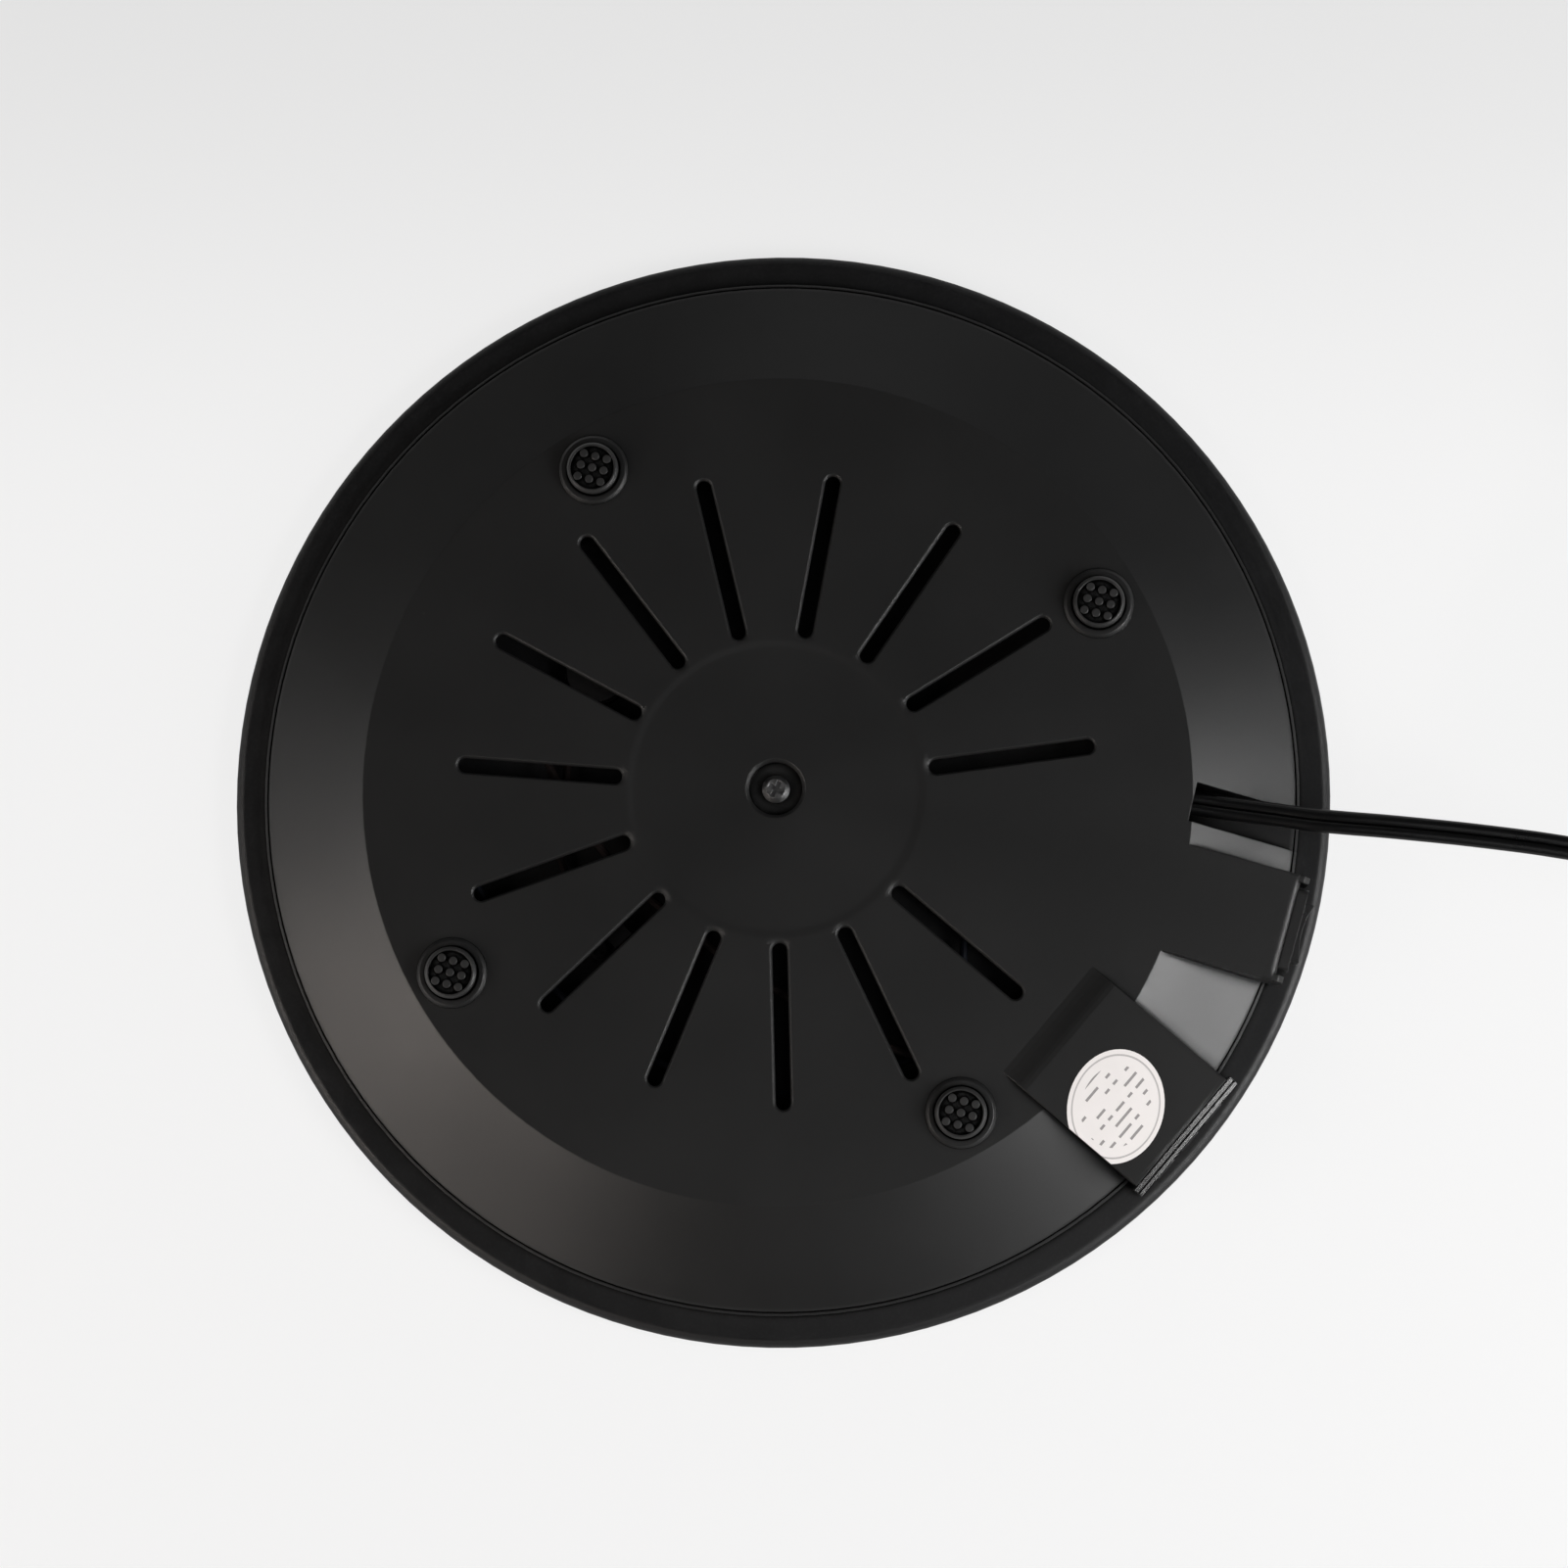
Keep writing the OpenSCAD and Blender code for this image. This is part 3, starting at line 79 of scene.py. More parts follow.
tilt = (Matrix.Rotation(math.radians(TILT_ABOUT_Y), 3, "Y")
        @ Matrix.Rotation(math.radians(TILT_ABOUT_X), 3, "X")).transposed()
camera_data = bpy.data.cameras.new("camera")
camera_data.sensor_width = SENSOR
camera_data.lens = SENSOR * FOCAL_PIXELS / PHOTO_PIXELS
camera_data.clip_start = 0.01
camera = bpy.data.objects.new("camera", camera_data)
scene.collection.objects.link(camera)
camera.matrix_world = Matrix.Translation(picture_point(*(tilt @ CAMERA_STAND))) @ (PICTURE @ tilt).to_4x4()
scene.camera = camera


# Meshes
def add_mesh(name, verts, faces, material, smooth_faces=True):
    mesh = bpy.data.meshes.new(name)
    mesh.from_pydata([tuple(v) for v in verts], [], faces)
    mesh.validate()
    mesh.update()
    if smooth_faces:
        mesh.polygons.foreach_set("use_smooth", [True] * len(mesh.polygons))
    obj = bpy.data.objects.new(name, mesh)
    scene.collection.objects.link(obj)
    mesh.materials.append(material)
    return obj


def spline(points, step):
    """Catmull-Rom curve through points, whose first three values are a place, in steps of about that length."""
    n = len(points)
    dense = []
    for i in range(n - 1):
        a, b, c, d = points[max(i - 1, 0)], points[i], points[i + 1], points[min(i + 2, n - 1)]
        parts = max(1, round(math.dist(b[:3], c[:3]) / step))
        for j in range(parts):
            t = j / parts
            dense.append([0.5 * (2 * q + (r - p) * t + (2 * p - 5 * q + 4 * r - s) * t * t
                                 + (3 * q - p - 3 * r + s) * t * t * t)
                          for p, q, r, s in zip(a, b, c, d)])
    dense.append(list(points[-1]))
    return dense


def sweep(name, path, leans, section, material):
    """Closed tube of one section along a path, its wide side level at lean 0 and upright at lean 90."""
    n, m = len(section), len(path)
    verts = []
    for i in range(m):
        way = (path[min(i + 1, m - 1)] - path[max(i - 1, 0)]).normalized()
        side = way.cross(Vector((0, 0, 1))).normalized()
        up = side.cross(way)
        c, s = math.cos(math.radians(leans[i])), math.sin(math.radians(leans[i]))
        wide, thin = side * c + up * s, up * c - side * s
        verts += [path[i] + wide * x + thin * y for x, y in section]
    faces = [(i * n + j, i * n + (j + 1) % n, (i + 1) * n + (j + 1) % n, (i + 1) * n + j)
             for i in range(m - 1) for j in range(n)]
    faces.append(tuple(reversed(range(n))))
    faces.append(tuple((m - 1) * n + j for j in range(n)))
    return add_mesh(name, verts, faces, material)


# Node trees
class Look:
    """One material and short ways to add nodes to it."""

    def __init__(self, name, colour, rough, **sockets):
        self.material = bpy.data.materials.new(name)
        self.material.use_nodes = True
        self.tree = self.material.node_tree
        self.shader = self.tree.nodes["Principled BSDF"]
        self.set(self.shader, **{"Base Color": (*colour, 1), "Roughness": rough}, **sockets)
        self.where = self.add("ShaderNodeTexCoord").outputs["Object"]

    def set(self, node, **sockets):
        for key, value in sockets.items():
            node.inputs[key].default_value = value

    def add(self, kind, **settings):
        node = self.tree.nodes.new(kind)
        for key, value in settings.items():
            setattr(node, key, value)
        return node

    def link(self, source, target):
        self.tree.links.new(source, target)

    def noise(self, size, detail=3.0, rough=0.55, stretch=None):
        """Noise whose features are about that many millimetres across."""
        node = self.add("ShaderNodeTexNoise")
        self.set(node, Scale=1 / MM / size, Detail=detail, Roughness=rough)
        where = self.where
        if stretch:
            mapping = self.add("ShaderNodeMapping")
            self.set(mapping, Scale=stretch)
            self.link(where, mapping.inputs["Vector"])
            where = mapping.outputs["Vector"]
        self.link(where, node.inputs["Vector"])
        return node.outputs["Fac"]

    def place(self, origin, turn):
        """Millimetres along, across and up from a point, seen along a direction about Z."""
        mapping = self.add("ShaderNodeMapping", vector_type="TEXTURE")
        self.set(mapping, Location=origin, Rotation=(0, 0, math.radians(turn)), Scale=(MM, MM, MM))
        self.link(self.where, mapping.inputs["Vector"])
        split = self.add("ShaderNodeSeparateXYZ")
        self.link(mapping.outputs["Vector"], split.inputs[0])
        return split.outputs

    def ramp(self, value, *stops):
        """Colours or greys by value: each stop is a position and a grey or an rgb."""
        node = self.add("ShaderNodeValToRGB")
        while len(node.color_ramp.elements) < len(stops):
            node.color_ramp.elements.new(0.5)
        for element, (place, colour) in zip(node.color_ramp.elements, stops):
            element.position = place
            element.color = (*(grey(colour) if isinstance(colour, (int, float)) else colour), 1)
        self.link(value, node.inputs["Fac"])
        return node.outputs["Color"]

    def clouds(self, size, detail, low, high):
        """Soft patches of that size that run from one grey or rgb to another."""
        return self.ramp(self.noise(size, detail), (0.3, low), (0.7, high))

    def math(self, operation, a, b=None, c=None):
        node = self.add("ShaderNodeMath", operation=operation)
        for socket, value in zip(node.inputs, (a, b, c)):
            if value is None:
                continue
            if isinstance(value, (int, float)):
                socket.default_value = value
            else:
                self.link(value, socket)
        return node.outputs[0]

    def span(self, value, low, high, to_low=0.0, to_high=1.0):
        """Value carried softly from one range to another, held at its ends."""
        node = self.add("ShaderNodeMapRange", interpolation_type="SMOOTHSTEP")
        self.set(node, **{"From Min": low, "From Max": high, "To Min": to_low, "To Max": to_high})
        self.link(value, node.inputs["Value"])
        return node.outputs["Result"]

    def radius(self, x, y):
        """Distance of two lengths taken square to each other."""
        return self.math("SQRT", self.math("ADD", self.math("MULTIPLY", x, x), self.math("MULTIPLY", y, y)))

    def bar(self, x, y, x0, x1, y0, y1):
        """1 inside a rectangle, 0 outside."""
        return self.math("MULTIPLY",
                         self.math("COMPARE", x, (x0 + x1) / 2, (x1 - x0) / 2),
                         self.math("COMPARE", y, (y0 + y1) / 2, (y1 - y0) / 2))

    def any(self, *masks):
        """1 where one of the masks is 1."""
        total = masks[0]
        for mask in masks[1:]:
            total = self.math("MAXIMUM", total, mask)
        return total

    def mix(self, share, a, b, blend="MIX"):
        """Mix of two colours, each a socket or an rgb."""
        node = self.add("ShaderNodeMix", data_type="RGBA", blend_type=blend)
        self.link(share, node.inputs[0])
        for socket, value in ((node.inputs[6], a), (node.inputs[7], b)):
            if isinstance(value, tuple):
                socket.default_value = (*value, 1)
            else:
                self.link(value, socket)
        return node.outputs[2]

    def hollow(self, reach):
        """1 on open surfaces, falling to 0 in corners and slots narrower than that many millimetres."""
        node = self.add("ShaderNodeAmbientOcclusion", samples=4)
        self.set(node, Distance=reach * MM)
        return node.outputs["AO"]

    def shade(self, unshaded, colour, rough):
        """Painted shade: colour and gloss on open surfaces, fading to a dull black where the open share is 0."""
        self.colour(self.mix(unshaded, grey(0.001), colour))
        self.rough(self.mix(unshaded, grey(0.95), rough))
        self.link(self.math("SUBTRACT", 1.0, unshaded), self.shader.inputs["Metallic"])

    def colour(self, socket):
        self.link(socket, self.shader.inputs["Base Color"])

    def rough(self, socket):
        self.link(socket, self.shader.inputs["Roughness"])

    def edges(self, radius):
        """Normal rounded over edges, for the small radius that every moulded edge has."""
        node = self.add("ShaderNodeBevel", samples=4)
        if isinstance(radius, (int, float)):
            self.set(node, Radius=radius * MM)
        else:
            self.link(radius, node.inputs["Radius"])
        return node.outputs["Normal"]

    def relief(self, height, depth, radius=None):
        """Relief of that many millimetres, over edges of that radius if one is given."""
        node = self.add("ShaderNodeBump")
        self.set(node, Strength=1.0, Distance=depth * MM)
        self.link(height, node.inputs["Height"])
        if radius:
            self.link(self.edges(radius), node.inputs["Normal"])
        self.link(node.outputs["Normal"], self.shader.inputs["Normal"])


def shades(colour, spread):
    """A darker and a paler shade of one colour."""
    return tuple(c * (1 - spread) for c in colour), tuple(c * (1 + spread) for c in colour)


def moulded(name, colour, rough, grain, depth, radius=0.3, patch=40, spread=0.15, **sockets):
    """Moulded plastic or rubber: clouded colour, uneven gloss, fine grain and softly rounded edges."""
    look = Look(name, colour, rough[0], **sockets)
    look.colour(look.clouds(patch, 4, *shades(colour, spread)))
    look.rough(look.clouds(patch * 0.6, 5, *rough))
    look.relief(look.noise(grain, 2), depth, radius)
    return look


def metal(name, colour, rough, size=6, stretch=(1, 1, 1), spread=0.15):
    """Bare metal with uneven colour, gloss and fine scratches."""
    look = Look(name, colour, rough[0], Metallic=1.0)
    look.colour(look.clouds(size, 4, *shades(colour, spread)))
    scratch = look.noise(0.5, 3, 0.6, stretch)
    look.rough(look.ramp(scratch, (0.3, rough[0]), (0.7, rough[1])))
    look.relief(scratch, 0.004, 0.15)
    return look


PRINT = (0.55, 0.55, 0.54)


def marked(look, base, mask):
    """The base colour with a slightly worn pale print where the mask is 1."""
    own = look.clouds(20, 4, *shades(base, 0.15))
    worn = look.math("MULTIPLY", mask, look.span(look.noise(0.5, 3), 0.2, 0.4, 0.55, 1.0))
    look.colour(look.mix(worn, own, PRINT))


def wear(look, *nodes):
    """Gives every material slot of some CAD nodes one look."""
    for node in nodes:
        slots = NODES[node].data.materials
        if not slots:
            slots.append(look.material)
        for i in range(len(slots)):
            slots[i] = look.material


# Cord: the route of the solids. Each row is a distance and a side step along the channel's direction, the height as a
# share of the way from the table to the channel, and how far the flat cord leans towards standing on its edge.
CORD = [(86.9, 0, 1, 0), (95.9, 0, 1, 0), (101.9, 0, 1, 0), (107.9, -0.4, 0.97, 0), (113.9, -0.9, 0.88, 0),
        (122.4, -1.6, 0.68, 0), (131.5, -2.3, 0.42, 0), (140, -3.3, 0.19, 0), (149.1, -4.6, 0.06, 0),
        (158.1, -5.8, 0, 0), (167.2, -7, 0, 0), (176.7, -8.1, 0, 0), (186.3, -9.1, 0, 0), (195.3, -9.8, 0, 0),
        (203.4, -10.5, 0, 12), (211.4, -11.2, 0, 32), (219.4, -11.9, 0, 56), (227.4, -12.6, 0, 78),
        (235.5, -13.3, 0, 90)]
CORD_W, CORD_T = 5.9, 3.4
CORE_SIDE, CORE_R = (CORD_W - CORD_T) / 2, CORD_T / 2
CHANNEL, CHANNEL_END = 20.8, 102.2
CORD_LOW, CORD_Z = 1.75, 8.6
COIL_Z1, COIL_Z2 = 4.05, 10.45
COIL_R, COIL_PITCH, COIL_DIP = 38.0, 4.0, 2.4
COIL_STEPS, STEPS_PER_TURN = 129, 24
HALF_TURNS = COIL_STEPS / STEPS_PER_TURN / 2
TAIL, PATH_STEP = 14.0, 1.6
ARC_STEPS, VALLEY = 14, 0.9

route = []
for u, side, rise, lean in CORD:
    z = (CORD_LOW + rise * (CORD_Z - CORD_LOW) + CORE_SIDE * math.sin(math.radians(lean))
         + smooth(lean / 90) * (COIL_Z1 - CORD_LOW - CORE_SIDE))
    route.append((*at(CHANNEL_TURN, u, side - CHANNEL, z), lean))
aim = math.atan2(route[-1][1] - route[-2][1], route[-1][0] - route[-2][0])
ahead, across = Vector((math.cos(aim), math.sin(aim), 0)), Vector((math.sin(aim), -math.cos(aim), 0))
coil_middle = Vector(route[-1][:3]) + (ahead * CORD_W + across * COIL_R) * MM

# The coil winds inwards on a lower layer, climbs in the middle of its length and winds outwards on an upper one
for k in range(COIL_STEPS + 1):
    past = k / STEPS_PER_TURN - HALF_TURNS
    coil_r = (COIL_R + COIL_PITCH * (abs(past) - HALF_TURNS)
              - COIL_DIP * (1 - smooth((abs(past) - 0.25) / 0.25)))
    angle = aim + math.pi / 2 - 2 * math.pi * k / STEPS_PER_TURN
    route.append((coil_middle.x + coil_r * math.cos(angle) * MM,
                  coil_middle.y + coil_r * math.sin(angle) * MM,
                  (COIL_Z1 + (COIL_Z2 - COIL_Z1) * smooth(past / 0.5 + 0.5)) * MM, 90))
leaving = aim - 2 * math.pi * COIL_STEPS / STEPS_PER_TURN
plug_way = Vector((math.cos(leaving), math.sin(leaving), 0))
route.append((*(Vector(route[-1][:3]) + plug_way * TAIL * MM), 90))
fine = spline(route, PATH_STEP * MM)
cord_path = [Vector(p[:3]) for p in fine]

# Two round cores side by side under one skin, with a valley between them
wrap = math.pi - math.acos(CORE_SIDE / CORE_R) * VALLEY
section = []
for middle, turn in ((CORE_SIDE, 0), (-CORE_SIDE, math.pi)):
    for j in range(ARC_STEPS + 1):
        a = turn - wrap + 2 * wrap * j / ARC_STEPS
        section.append(((middle + CORE_R * math.cos(a)) * MM, CORE_R * math.sin(a) * MM))
cord_skin = moulded("cord_skin", (0.002, 0.002, 0.0022), (0.26, 0.34), 0.6, 0.010, 0.1, 25,
                    **{"Specular IOR Level": 0.34})
cord = sweep("cord", cord_path, [p[3] for p in fine], section, cord_skin.material)
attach(cord, "base")
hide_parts("power_cord", "cord_coil")

# Housing, glass, feet and seal. The housing's edges are rounder in a band on each side of the dish's and lip's radius.
DISH_R, FLOOR_Z, LIP_R = 36.7, 4.0, 131.1
DISH_BAND, LIP_BAND = 2.4, 1.2
EDGE_R, DISH_EDGE_R, LIP_EDGE_R = 0.45, 2.0, 1.1
CHANNEL_BACK, CHANNEL_LONG, CHANNEL_HALF = 0.8, 40.0, 5.15
GLASS_R, GROUND, GROUND_FADE = 140.0, 1.9, 0.2


def housing_plastic():
    """Black plastic with a fine moulded grain, painted shade in its corners, slots and cord channel, and a dish with a
    very soft edge.
    """
    look = Look("housing_plastic", grey(0.010), 0.38)
    x, y, _ = look.place((0, 0, 0), 0)
    from_axis = look.radius(x, y)
    at_lip = look.math("COMPARE", from_axis, LIP_R, LIP_BAND)
    at_dish = look.math("COMPARE", from_axis, DISH_R, DISH_BAND)
    # Painted shade: dark lines at the feet of walls, mostly held back over the lip, and dark slots and hollows.
    near = look.math("MAXIMUM", look.span(look.hollow(1.5), 0.5, 0.88), look.math("MULTIPLY", at_lip, 0.92))
    unshaded = look.math("MULTIPLY", look.span(look.hollow(9), 0.25, 0.7), near)
    # Painted shade inside the cord channel.
    along, aside, height = look.place(at(CHANNEL_TURN, CHANNEL_END, -CHANNEL, FLOOR_Z), CHANNEL_TURN)
    channel_shade = look.math(
        "MULTIPLY", look.bar(along, aside, -CHANNEL_BACK, CHANNEL_LONG, -CHANNEL_HALF, CHANNEL_HALF),
        look.span(height, 0.3, 2.5))
    unshaded = look.math("MULTIPLY", unshaded, look.math("MULTIPLY_ADD", channel_shade, -0.25, 1.0))
    plain = look.clouds(60, 4, (0.0090, 0.0090, 0.0091), (0.0118, 0.0118, 0.0119))
    dust = look.ramp(look.noise(2.2, 2), (0.76, 0.0), (0.84, 1.0))
    powdered = look.mix(look.math("MULTIPLY", dust, 0.16), plain, grey(0.06))
    look.shade(unshaded, powdered, look.clouds(35, 5, 0.36, 0.42))
    edge_r = look.math("MULTIPLY_ADD", at_lip, LIP_EDGE_R * MM, EDGE_R * MM)
    look.relief(look.noise(0.3, 2), 0.006, look.math("MULTIPLY_ADD", at_dish, DISH_EDGE_R * MM, edge_r))
    return look


def black_glass():
    """Black sheet, polished above, satin print below, with a softly ground edge and painted shade where other parts
    stand close to it.
    """
    look = Look("black_glass", (0.008, 0.008, 0.0085), 0.3)
    x, y, z = look.place((0, 0, 0), 0)
    edge = GLASS_R - GROUND
    ground = look.span(look.radius(x, y), edge - GROUND_FADE, edge + GROUND_FADE)
    above = look.math("GREATER_THAN", z, RIM_Z)
    polish = look.ramp(look.noise(30, 6), (0.35, 0.05), (0.75, 0.14))
    satin = look.ramp(look.noise(6, 4), (0.35, 0.33), (0.75, 0.40))
    flecks = look.ramp(look.noise(0.8, 1), (0.45, (0.0050, 0.0050, 0.0054)), (0.75, (0.0090, 0.0090, 0.0095)))
    faces = look.mix(above, flecks, (0.004, 0.004, 0.0045))
    # Painted shade where other parts stand close to the glass, as at the flange.
    look.shade(look.span(look.hollow(2), 0.5, 0.85),
               look.mix(ground, faces, (0.005, 0.005, 0.0055)),
               look.mix(ground, look.mix(above, satin, polish), look.clouds(1.5, 4, 0.50, 0.62)))
    look.relief(look.noise(0.4, 2), 0.002, 0.4)
    return look


def foot_rubber():
    """Rubber, with painted shade between its studs."""
    look = Look("foot_rubber", grey(0.022), 0.4)
    look.shade(look.span(look.hollow(1.8), 0.68, 0.97), look.clouds(8, 4, 0.020, 0.026),
               look.clouds(5, 4, 0.30, 0.40))
    look.relief(look.noise(0.25, 2), 0.01, 0.6)
    return look


wear(housing_plastic(), "base_shell")
wear(black_glass(), "glass_plate")
wear(foot_rubber(), *["foot_%d" % k for k in range(1, 5)])
wear(moulded("seal_silicone", grey(0.010), (0.35, 0.5), 0.5, 0.01, 0.15), "glass_seal")

# Switch, panel and buttons
SWITCH_BLACK, BUTTON_BLACK = (0.0115, 0.0115, 0.0116), (0.020, 0.020, 0.021)
SWITCH_Z, ROCKER_TIP = 12.1, 137.3
ROCKER_LINES, ROCKER_LINE_W, ROCKER_LINE_HALF = (4.75, -5.7, -4.7), 0.5, 1.9
PANEL_FACE, PANEL_SKIN = 135.2, 0.12
BUTTON_Z, BUTTON_PITCH, BUTTON_FRONT, PRINT_DEPTH = 9.8, 9.0, 135.6, 0.7
SIGN_HALF, SIGN_LINE_HALF = 1.4, 0.27
POWER_R, POWER_LINE_HALF, POWER_GAP_HALF = 1.55, 0.26, 0.75


def rocker_plastic():
    """Glossy plastic with a line, a circle and a double line, for the switch's three positions."""
    look = moulded("rocker_plastic", SWITCH_BLACK, (0.24, 0.32), 0.3, 0.005)
    _, side, rise = look.place(at(SWITCH_TURN, ROCKER_TIP, 0, SWITCH_Z), SWITCH_TURN)
    lines = [look.bar(side, rise, x, x + ROCKER_LINE_W, -ROCKER_LINE_HALF, ROCKER_LINE_HALF)
             for x in ROCKER_LINES]
    circle = look.math("COMPARE", look.radius(side, rise), 1.2, 0.22)
    marked(look, SWITCH_BLACK, look.any(*lines, circle))
    return look


def panel_plastic():
    """Plastic with shiny edges and a matt face, whose colour is painted darker: painted shade that holds back the
    lamps' reflection.
    """
    look = Look("panel_plastic", grey(0.012), 0.2)
    deep = look.place(at(PANEL_TURN, PANEL_FACE, 0, BUTTON_Z), PANEL_TURN)[0]
    # Painted shade on the panel's face: darker, duller and matt, while its edges keep their shine.
    gloss_and_unshaded = look.math("MULTIPLY_ADD", look.math("LESS_THAN", deep, -PANEL_SKIN), 0.75, 0.25)
    look.shade(gloss_and_unshaded, look.clouds(40, 4, 0.010, 0.014), look.clouds(24, 5, 0.17, 0.23))
    look.relief(look.noise(0.3, 2), 0.003, 0.3)
    return look


def button_plastic():
    """Matt plastic with a minus, a power sign and a plus on the fronts of the three buttons."""
    look = moulded("button_plastic", BUTTON_BLACK, (0.42, 0.52), 0.3, 0.004, 0.25, **{"Specular IOR Level": 0.2})
    deep, side, rise = look.place(at(PANEL_TURN, BUTTON_FRONT, 0, BUTTON_Z), PANEL_TURN)
    level = [look.bar(side, rise, x - SIGN_HALF, x + SIGN_HALF, -SIGN_LINE_HALF, SIGN_LINE_HALF)
             for x in (-BUTTON_PITCH, BUTTON_PITCH)]
    upright = look.bar(side, rise, BUTTON_PITCH - SIGN_LINE_HALF, BUTTON_PITCH + SIGN_LINE_HALF,
                       -SIGN_HALF, SIGN_HALF)
    circle = look.math("COMPARE", look.radius(side, rise), POWER_R, POWER_LINE_HALF)
    gap = look.bar(side, rise, -POWER_GAP_HALF, POWER_GAP_HALF, 0.0, 3.0)
    stroke = look.bar(side, rise, -POWER_LINE_HALF, POWER_LINE_HALF, 0.1, 2.0)
    power = look.any(look.math("MULTIPLY", circle, look.math("SUBTRACT", 1.0, gap)), stroke)
    in_front = look.math("GREATER_THAN", deep, -PRINT_DEPTH)
    marked(look, BUTTON_BLACK, look.math("MULTIPLY", in_front, look.any(*level, upright, power)))
    return look


wear(moulded("switch_frame_plastic", SWITCH_BLACK, (0.28, 0.36), 0.3, 0.006), "switch_housing")
wear(rocker_plastic(), "switch_rocker")
wear(panel_plastic(), "control_panel")
wear(button_plastic(), "minus_button", "power_button", "plus_button")

# Sticker
STICKER_L, STICKER_W, STICKER_LEAN = 28.6, 23.8, -26.0
STICKER_AT = at(PANEL_TURN, 115.9, 5.6, 1.85)
ROW, ROW_START, ROW_HALF, DASH = 2.4, 40.0, 0.33, 1.5
STICKER_RING, STICKER_RING_HALF, STICKER_BARS = 0.90, 0.016, 0.72


def sticker_film():
    """White oval film with a thin ring and rows of plain grey bars."""
    look = Look("sticker_film", (0.86, 0.86, 0.85), 0.35)
    long_way, short_way, _ = look.place(STICKER_AT, PANEL_TURN + 90 + STICKER_LEAN)
    reach = look.radius(look.math("MULTIPLY", long_way, 2 / STICKER_L),
                        look.math("MULTIPLY", short_way, 2 / STICKER_W))
    ring = look.math("COMPARE", reach, STICKER_RING, STICKER_RING_HALF)
    row_way, bar_way, _ = look.place(STICKER_AT, PANEL_TURN)
    rows = look.math("LESS_THAN", look.math("PINGPONG", look.math("ADD", row_way, ROW_START), ROW / 2), ROW_HALF)
    cell = look.add("ShaderNodeCombineXYZ")
    for socket, way, size in zip(cell.inputs, (row_way, bar_way), (ROW, DASH)):
        look.link(look.math("ROUND", look.math("MULTIPLY", way, 1 / size)), socket)
    chance = look.add("ShaderNodeTexWhiteNoise", noise_dimensions="2D")
    look.link(cell.outputs[0], chance.inputs["Vector"])
    dashes = look.math("GREATER_THAN", chance.outputs["Value"], 0.5)
    bars = look.math("MULTIPLY", look.math("MULTIPLY", rows, dashes), look.math("LESS_THAN", reach, STICKER_BARS))
    film = look.clouds(9, 4, (0.94, 0.905, 0.892), (0.98, 0.943, 0.931))
    printed = look.mix(look.math("MULTIPLY", bars, 0.8), film, (0.20, 0.19, 0.19))
    look.colour(look.mix(look.math("MULTIPLY", ring, 0.75), printed, (0.42, 0.40, 0.40)))
    look.rough(look.clouds(4, 4, 0.32, 0.46))
    look.relief(look.noise(3, 2), 0.01, 0.08)
    return look


wear(sticker_film(), "oval_sticker")

# Metal
wear(metal("screw_steel", (0.22, 0.22, 0.222), (0.3, 0.5), 1.2, spread=0.4), "centre_screw")
wear(metal("zinc_steel", (0.52, 0.52, 0.53), (0.28, 0.45)), "terminal_screws", "clamp_screws")
# Painted shade: these inner pieces are painted near black, standing in for the shade inside the base seen through the
# slots.
wear(metal("steel_painted_shade", (0.02, 0.02, 0.021), (0.55, 0.7)), "plate_screws", "fuse_clip", "centre_standoff")
wear(metal("clamp_steel_painted_shade", (0.03, 0.03, 0.031), (0.7, 0.8), 20), "clamp_plate")
wear(metal("rolled_aluminium", (0.64, 0.645, 0.65), (0.25, 0.4), 15, (0.1, 4, 1)), "heat_spreader")
wear(metal("stamped_brass", (0.62, 0.45, 0.19), (0.22, 0.4)), "switch_terminals")
# Painted shade: the brass heater terminals and fuse are painted near black for the shade inside the base.
wear(metal("brass_painted_shade", (0.030, 0.024, 0.017), (0.5, 0.65)), "heater_terminals", "thermal_fuse")
wear(metal("resistance_ribbon", (0.33, 0.27, 0.22), (0.35, 0.5), 4, (6, 1, 1)), "heating_ribbon")

# Plug and tie
PIN_SLEEVE, SLEEVE_STEP = 10.0, 0.1


def plug_pin():
    """Bright pin, with a black sleeve next to the plug."""
    look = Look("plug_pin", (0.62, 0.61, 0.6), 0.2, Metallic=1.0)
    start = min(v.co.dot(plug_way) for v in NODES["plug_pins"].data.vertices) / MM
    along = look.place(plug_way * start * MM, math.degrees(leaving))[0]
    sleeve = look.math("LESS_THAN", along, PIN_SLEEVE)
    bright = look.clouds(3, 4, (0.55, 0.54, 0.52), (0.70, 0.69, 0.67))
    look.colour(look.mix(sleeve, bright, grey(0.012)))
    look.link(look.math("SUBTRACT", 1.0, sleeve), look.shader.inputs["Metallic"])
    look.rough(look.math("MULTIPLY_ADD", sleeve, 0.22, look.span(look.noise(0.6, 3), 0.3, 0.7, 0.16, 0.3)))
    look.relief(sleeve, SLEEVE_STEP, 0.2)
    return look


wear(plug_pin(), "plug_pins")
wear(moulded("plug_vinyl", (0.0085, 0.0085, 0.0088), (0.38, 0.5), 0.4, 0.014, 0.6, 15), "plug_body")
wear(moulded("tie_vinyl", grey(0.012), (0.22, 0.36), 0.8, 0.03, 0.3, 5), "cord_tie")


# Inner pieces
def mica():
    """Pressed flakes of uneven gloss."""
    look = Look("mica", (0.42, 0.36, 0.26), 0.4)
    look.colour(look.clouds(5, 5, (0.30, 0.25, 0.17), (0.50, 0.44, 0.33)))
    look.rough(look.ramp(look.noise(2.5, 3), (0.35, 0.2), (0.65, 0.5)))
    look.relief(look.noise(1.2, 3), 0.02)
    return look


